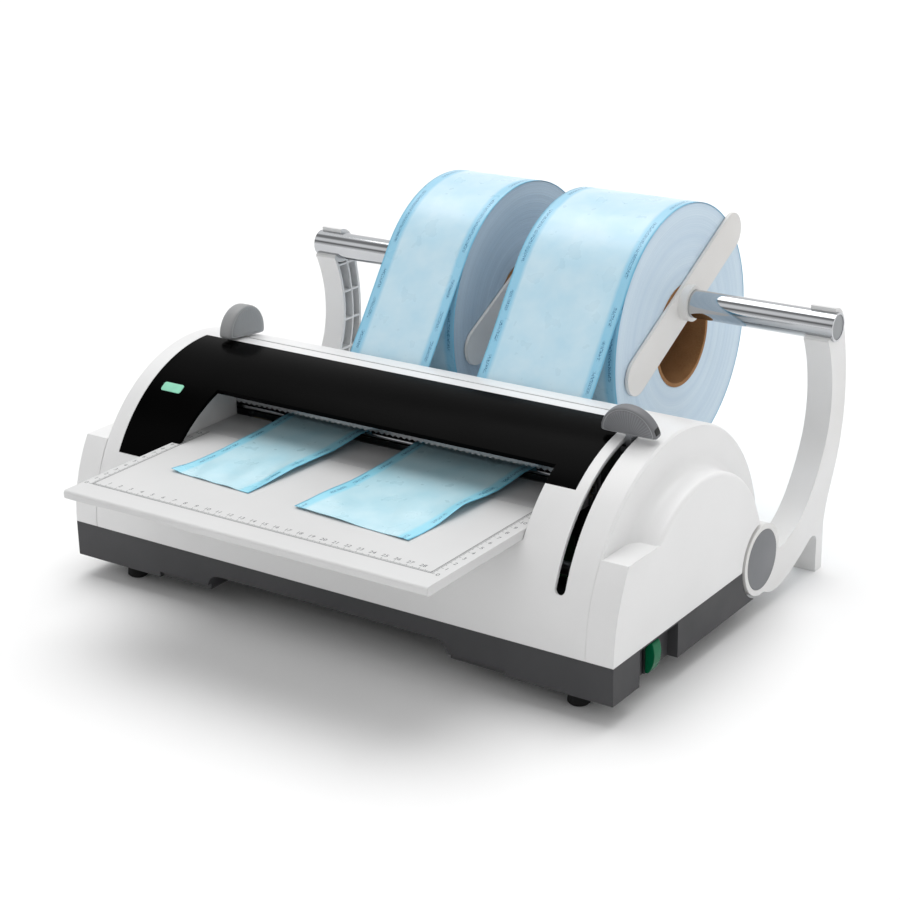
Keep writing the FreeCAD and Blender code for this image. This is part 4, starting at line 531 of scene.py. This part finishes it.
def film(name, width, pale, deep_tone, band):
    """Film from its laminate side: pale blue in soft clouds of 34 mm with a thin gloss, a deeper wavy
    weld band, a deep rim and a column of marks in the band. spot holds the place across and along in mm.
    The marks stand for print of 1 mm and are drawn as broken strokes, too coarse to read."""
    mat, tree, shader, _ = material(name, Specular_IOR_Level=0.5, Coat_Weight=0.25, Coat_Roughness=0.12)
    spot = add(tree, "Attribute", attribute_name="spot", out="Vector")
    across = add(tree, "SeparateXYZ", spot)
    out = add(tree, "Math", across, operation="ABSOLUTE")
    cloud = add(tree, "TexNoise", Vector=spot, Scale=1 / 34.0, Detail=3.0, Roughness=0.55)
    cloud = add(tree, "MapRange", cloud, 0.35, 0.72)
    sheet = add(tree, "Mix", cloud, data_type="RGBA", i6=rgb(pale), i7=rgb(deep_tone), out=2)
    wave = add(tree, "TexNoise", Vector=spot, Scale=1 / 9.0, Detail=3.0, Roughness=0.5)
    wave = add(tree, "Math", wave, 0.5, operation="SUBTRACT")
    wave = add(tree, "Math", wave, 1.6, operation="MULTIPLY")
    reach = add(tree, "Math", out, wave, operation="ADD")
    weld = add(tree, "MapRange", reach, width / 2 - weld_in, width / 2 - weld_out)
    share = add(tree, "Math", weld, 0.7, operation="MULTIPLY")
    sheet = add(tree, "Mix", share, data_type="RGBA", i6=sheet, i7=rgb(band), out=2)
    rim = add(tree, "MapRange", out, width / 2 - rim_in, width / 2 - rim_out, 0.0, 0.5)
    sheet = add(tree, "Mix", rim, data_type="RGBA", i6=sheet, i7=rgb("3FAFD8"), out=2)
    fine = add(tree, "VectorMath", spot, (0.8, 1.9, 1.0), operation="MULTIPLY")
    strokes = add(tree, "TexNoise", Vector=fine, Scale=1 / 1.1, Detail=1.0, Roughness=0.5)
    strokes = add(tree, "MapRange", strokes, 0.50, 0.56)
    column = add(tree, "Math", out, width / 2 - print_in, operation="SUBTRACT")
    column = add(tree, "Math", column, operation="ABSOLUTE")
    column = add(tree, "MapRange", column, print_half + 0.2, print_half - 0.2)
    stretched = add(tree, "VectorMath", spot, (0.02, 1.0, 1.0), operation="MULTIPLY")
    words = add(tree, "TexNoise", Vector=stretched, Scale=1 / 26.0, Detail=0.0, Roughness=0.5)
    words = add(tree, "MapRange", words, 0.46, 0.49)
    marks = add(tree, "Math", strokes, column, operation="MULTIPLY")
    marks = add(tree, "Math", marks, words, operation="MULTIPLY")
    sheet = add(tree, "Mix", marks, data_type="RGBA", i6=sheet, i7=rgb("256A97"), out=2)
    tree.links.new(sheet, shader["Base Color"])
    patch = add(tree, "TexNoise", Vector=spot, Scale=1 / 20.0, Detail=3.0, Roughness=0.5)
    tree.links.new(add(tree, "MapRange", patch, 0.3, 0.7, 0.24, 0.4), shader["Roughness"])
    buckle = add(tree, "TexNoise", Vector=spot, Scale=1 / 16.0, Detail=2.0, Roughness=0.5)
    step = add(tree, "Math", weld, 0.2, operation="MULTIPLY")
    relief(tree, shader, add(tree, "Math", buckle, step, operation="ADD"), 0.25)
    return mat


def wound_edge(name, pale, grey, centre_y, centre_z):
    """Side of the roll: the cut edges of the turns as fine rings, satin, with broader rings where turns
    stand proud. A turn is 0.15 mm thick and is drawn at 0.6 mm."""
    mat, tree, shader, mm = material(name, Roughness=0.5, Specular_IOR_Level=0.4)
    shifted = add(tree, "VectorMath", mm, (0.0, centre_y, centre_z), operation="SUBTRACT")
    flat = add(tree, "VectorMath", shifted, (0.0, 1.0, 1.0), operation="MULTIPLY")
    radius = add(tree, "VectorMath", flat, operation="LENGTH", out="Value")
    line = add(tree, "CombineXYZ", radius)
    fine = add(tree, "TexNoise", Vector=line, Scale=1 / 0.6, Detail=4.0, Roughness=0.7)
    broad = add(tree, "TexNoise", Vector=line, Scale=1 / 9.0, Detail=2.0, Roughness=0.5)
    broad = add(tree, "MapRange", broad, 0.35, 0.65)
    tone = add(tree, "Mix", broad, data_type="RGBA", i6=rgb(pale), i7=rgb(grey), out=2)
    bright = add(tree, "MapRange", fine, 0.42, 0.62)
    tone = add(tree, "Mix", bright, data_type="RGBA", i6=tone, i7=rgb("BFD6E6"), out=2)
    tree.links.new(tone, shader["Base Color"])
    relief(tree, shader, fine, 0.12)
    return mat


# The rolls' axis, their radii and that of the web's last turn, the film's thickness and its gap to the
# guide, and the guide's place, in mm. shown_t is the thickness that the sheets are drawn with. The cut
# ends lie cut_half to each side of the blade.
axis_y, axis_z = 152.75, 163.6
roll_r, bore_r, web_r = 102.3, 41.05, 102.75
film_t, film_gap, guide_r = 0.5, 0.3, 4.0
guide_y, film_z = -6.0, 123.9
guide_z = film_z + film_t + film_gap + guide_r
shown_t, cut_half = 0.3, 1.5


def wound_roll(name, left, width):
    """Ring swept round the roll's axis: its section runs over the outside, down a side whose turns
    stand out by a sum of waves of the radius, along the bore and up the other side."""
    around, steps, flat_steps = 240, 60, 12
    flat_in, side_in, bore_in = 0.4, 0.25, 0.3
    t = np.linspace(0.0, 2 * math.pi, around, endpoint=False)
    r = np.linspace(roll_r, bore_r, steps)
    proud = 0.16 * np.sin(r * 0.9) * np.sin(r * 0.23) + 0.1 * np.sin(r * 2.3)
    proud *= 0.8 * np.sin(np.linspace(0.0, math.pi, steps)) ** 0.5
    flat = np.linspace(left + flat_in, left + width - flat_in, flat_steps)
    right_side, left_side = left + width - side_in + proud, left + side_in - proud
    x = np.concatenate([flat, right_side, [left + bore_in], left_side[::-1]])
    radius = np.concatenate([np.full(flat_steps, roll_r - 0.02), r, [bore_r], r[::-1]])
    y = axis_y + np.outer(radius, np.cos(t))
    z = axis_z + np.outer(radius, np.sin(t))
    points = np.stack([np.repeat(x[:, None], around, 1), y, z], -1)
    spot = np.stack([np.repeat(x[:, None] - left - width / 2, around, 1),
                     np.repeat((t * roll_r)[None, :], len(x), 0), np.repeat(radius[:, None], around, 1)], -1)
    mesh = ring_mesh(name, points, spot, False)
    rows = np.repeat(np.arange(len(x)), around)
    mesh.polygons.foreach_set("material_index", (rows >= flat_steps - 1).astype(np.int32))
    return mesh


def grid_mesh(name, points, spot):
    """Smooth open sheet from a grid of points in mm, each face between two rows and two columns."""
    rows, cols = points.shape[:2]
    i, j = np.meshgrid(np.arange(rows - 1), np.arange(cols - 1), indexing="ij")
    quads = np.stack([i * cols + j, i * cols + j + 1, (i + 1) * cols + j + 1, (i + 1) * cols + j], -1)
    mesh = bpy.data.meshes.new(name)
    mesh.from_pydata((points.reshape(-1, 3) / 1000.0).tolist(), [], quads.reshape(-1, 4).tolist())
    store(mesh, spot)
    return mesh


def thicken(piece, thickness):
    """Real thickness, half to each side of the sheet."""
    solid = piece.modifiers.new("thickness", "SOLIDIFY")
    solid.thickness = thickness / 1000.0
    solid.offset = 0.0


def free_run(name, left, width):
    """Film from its cut end under the guide and over the roll: a level run, an arc round the guide, the
    common tangent of guide and roll with a slow wave, stronger at the edges, that dies out at both
    ends, and the last turn, which ends under the tangent, where it isn't seen."""
    cut_end, last_turn, wave_mm, wave_height = cut_y + cut_half, 6.09, 17.0, 0.5
    level_steps, arc_steps, line_steps, turn_steps = 6, 9, 60, 161
    near = guide_r + film_gap + film_t / 2
    far = web_r
    dy, dz = axis_y - guide_y, axis_z - guide_z
    slope = math.atan2(dz, dy) + math.asin((near + far) / math.hypot(dy, dz))
    turn = np.linspace(-math.pi / 2, slope - math.pi / 2, arc_steps)
    high = np.array([axis_y - far * math.sin(slope), axis_z + far * math.cos(slope)])
    low = np.array([guide_y + near * math.sin(slope), guide_z - near * math.cos(slope)])
    level = np.stack([np.linspace(cut_end, guide_y, level_steps), np.full(level_steps, guide_z - near)], 1)
    arc = np.stack([guide_y + near * np.cos(turn), guide_z + near * np.sin(turn)], 1)
    share = np.linspace(0.0, 1.0, line_steps)[1:, None]
    line = low + (high - low) * share
    last = math.pi / 2 + slope - np.linspace(0.0, last_turn, turn_steps)[1:]
    turn_on = np.stack([axis_y + far * np.cos(last), axis_z + far * np.sin(last)], 1)
    path = np.concatenate([level, arc[1:], line, turn_on])
    length = np.concatenate([[0.0], np.cumsum(np.hypot(*np.diff(path, axis=0).T))])
    across = np.linspace(-0.5, 0.5, 41)
    before, after = np.zeros(level_steps + arc_steps - 1), np.zeros(turn_steps - 1)
    lift = np.concatenate([before, np.sin(math.pi * share[:, 0]) ** 2, after])
    wave = np.sin(length[:, None] / wave_mm + across * 2.0) * (0.2 + np.abs(across) ** 3 * 5.0)
    wave *= lift[:, None] * wave_height
    y = path[:, 0:1] - wave * math.sin(slope)
    z = path[:, 1:2] + wave * math.cos(slope)
    x = left + width * (across + 0.5)[None, :] + np.zeros_like(y)
    points = np.stack([x, y, z], -1)
    spot = np.stack([width * across[None, :] + np.zeros_like(y), length[:, None] + np.zeros_like(y),
                     np.zeros_like(y)], -1)
    return grid_mesh(name, points, spot), float(length[-1])


def cut_pouch(name, left, width, front, seed, curl):
    """Cut length of film: level through the sealing station, a drop to the table that eases off as a
    parabola, then flat with shallow buckles that are a sum of random waves. Its right edge curls up
    towards the exit and its front left corner lifts a little."""
    # In mm, apart from the two sides, which are shares of the width from its middle.
    station, drop, free_from, free_over, table = -70.0, 105.0, -100.0, 40.0, 116.0 + 0.55
    buckles, rise = 7, 0.35
    curl_side, curl_from, curl_run = 0.12, 12.0, 60.0
    corner_side, corner_run, corner_lift = -0.2, 14.0, 0.9
    station_z = film_z + film_t / 2
    skew = math.radians(-3.7)
    start = cut_y - cut_half - width / 2 * abs(math.sin(skew))
    y = np.linspace(start, front, 150)[:, None]
    across = np.linspace(-0.5, 0.5, 61)[None, :]
    ease = 1 - np.clip(1 + (y - station) / drop, 0.0, 1.0) ** 2
    ease = np.where(y > station, 0.0, ease)
    z = station_z + (table - station_z) * ease + np.zeros_like(across)
    free = np.clip((free_from - y) / free_over, 0.0, 1.0)
    rng = np.random.default_rng(seed)
    buckle = np.zeros_like(z)
    for _ in range(buckles):
        fx, fy = rng.uniform(1.0, 4.0), rng.uniform(0.02, 0.09)
        buckle += rng.uniform(0.1, 0.32) * np.sin(across * fx * 5.0 + y * fy + rng.uniform(0, 6.28))
    z = z + free * np.maximum(buckle + rise, 0.0)
    edge = np.clip((across - curl_side) / (0.5 - curl_side), 0.0, 1.0) ** 2
    run = np.clip((y - front - curl_from) / curl_run, 0.0, 1.0)
    z = z + free * curl * edge * run * run * (3 - 2 * run)
    to_left = np.clip((corner_side - across) / (0.5 + corner_side), 0.0, 1.0) ** 2
    z = z + corner_lift * to_left * np.clip(1 - (y - front) / corner_run, 0.0, 1.0)
    centre = left + width / 2
    px, py = width * across + np.zeros_like(z), y - station + np.zeros_like(z)
    points = np.stack([centre + px * math.cos(skew) - py * math.sin(skew),
                       station + px * math.sin(skew) + py * math.cos(skew), z], -1)
    spot = np.stack([px, start - y + np.zeros_like(z), np.zeros_like(z)], -1)
    return grid_mesh(name, points, spot), float(start - front)


# Each roll's letter, left end, width and the front end of its pouch in mm, the seed of the buckles, the
# height of the curl in mm, and the tones of the roll's side. Roll a's side is darker in the photo, where
# it lies in the shade between the rolls, so its two side tones carry painted shade.
rolls = (("a", -108.1, 75.0, -190.0, 4, 3.6, "B4C4D2", "A2B4C4"),
         ("b", 10.9, 100.0, -199.0, 9, 4.2, "D6E6F2", "C6D9EA"))
for letter, left, width, front, seed, curl, pale, grey in rolls:
    outside = film("film_" + letter, width, "CDE9F6", "B8DFF1", "7AC6E6")
    laid = film("pouch_film_" + letter, width, "C6E8F2", "AEDCEA", "83DAF2")
    side = wound_edge("wound_edge_" + letter, pale, grey, axis_y, axis_z)
    wound = show(wound_roll("wound_" + letter, left, width), "wound_" + letter, outside, "roll_" + letter,
                 "film_roll_" + letter)
    wound.data.materials.append(side)
    mesh, length = free_run("web_" + letter, left, width)
    web = show(mesh, "web_" + letter, outside, "machine", "film_web_" + letter)
    thicken(web, shown_t)
    mesh, length = cut_pouch("cut_" + letter, left, width, front, seed, curl)
    cut = show(mesh, "cut_" + letter, laid, "machine", "pouch_" + letter)
    thicken(cut, shown_t)


# Studio: a white paper floor with a white paper wall far round it, which gives no light, a broad soft
# light from above, and surroundings that are pale behind, with a wide soft panel high in front and dark
# between the two.
floor_side, wall_r, wall_h = 60.0, 15.0, 16.0
bpy.ops.mesh.primitive_plane_add(size=floor_side, location=(0, 0, 0))
floor = bpy.context.object
floor.name = "floor"
# Uncoated paper: white, without any highlight.
paper = material("floor_paper", Base_Color=rgb("F6F6F6"), Roughness=0.9, Specular_IOR_Level=0.0)[0]
floor.data.materials.append(paper)

bpy.ops.mesh.primitive_cylinder_add(vertices=64, radius=wall_r, depth=wall_h, end_fill_type="NOTHING")
wall = bpy.context.object
wall.name = "backdrop"
# Lit paper: plain white, seen by the camera alone.
lit_paper = material("backdrop_paper", Base_Color=rgb("000000"), Emission_Color=rgb("FFFFFF"),
                     Emission_Strength=1.0, Specular_IOR_Level=0.0)[0]
wall.data.materials.append(lit_paper)
wall.visible_diffuse = wall.visible_glossy = wall.visible_transmission = wall.visible_shadow = False

world = bpy.data.worlds.new("studio")
bpy.context.scene.world = world
world.use_nodes = True
tree = world.node_tree
direction = add(tree, "TexCoord", out="Generated")
to_back, to_top = add(tree, "SeparateXYZ", direction).node.outputs[1:]
angle = add(tree, "Math", to_top, to_back, operation="ARCTAN2")
turned = add(tree, "MapRange", angle, 0.0, math.pi)
sky = add(tree, "ValToRGB", turned)
points = sky.node.color_ramp.elements
# Shares of the half turn from the back over the top to the front, with the light's level at each.
for place, level in ((0.0, 1.0), (0.16, 0.95), (0.30, 1.0), (0.47, 1.0), (0.53, 0.30), (0.64, 0.30),
                     (0.71, 1.0), (0.80, 1.0), (0.87, 0.12), (1.0, 0.15)):
    point = points.new(place)
    point.color = (level, level, level, 1.0)
points.remove(points[0])
points.remove(points[-1])
background = tree.nodes["Background"].inputs
tree.links.new(sky, background["Color"])
background["Strength"].default_value = 0.95

sun = bpy.data.lights.new("soft_top", "SUN")
sun.energy = 1.5
sun.angle = math.radians(55.0)
soft_top = bpy.data.objects.new("soft_top", sun)
soft_top.rotation_euler = Vector((0.15, -0.25, -1.0)).to_track_quat("-Z", "Y").to_euler()
bpy.context.scene.collection.objects.link(soft_top)
bpy.context.scene.view_settings.view_transform = "Standard"
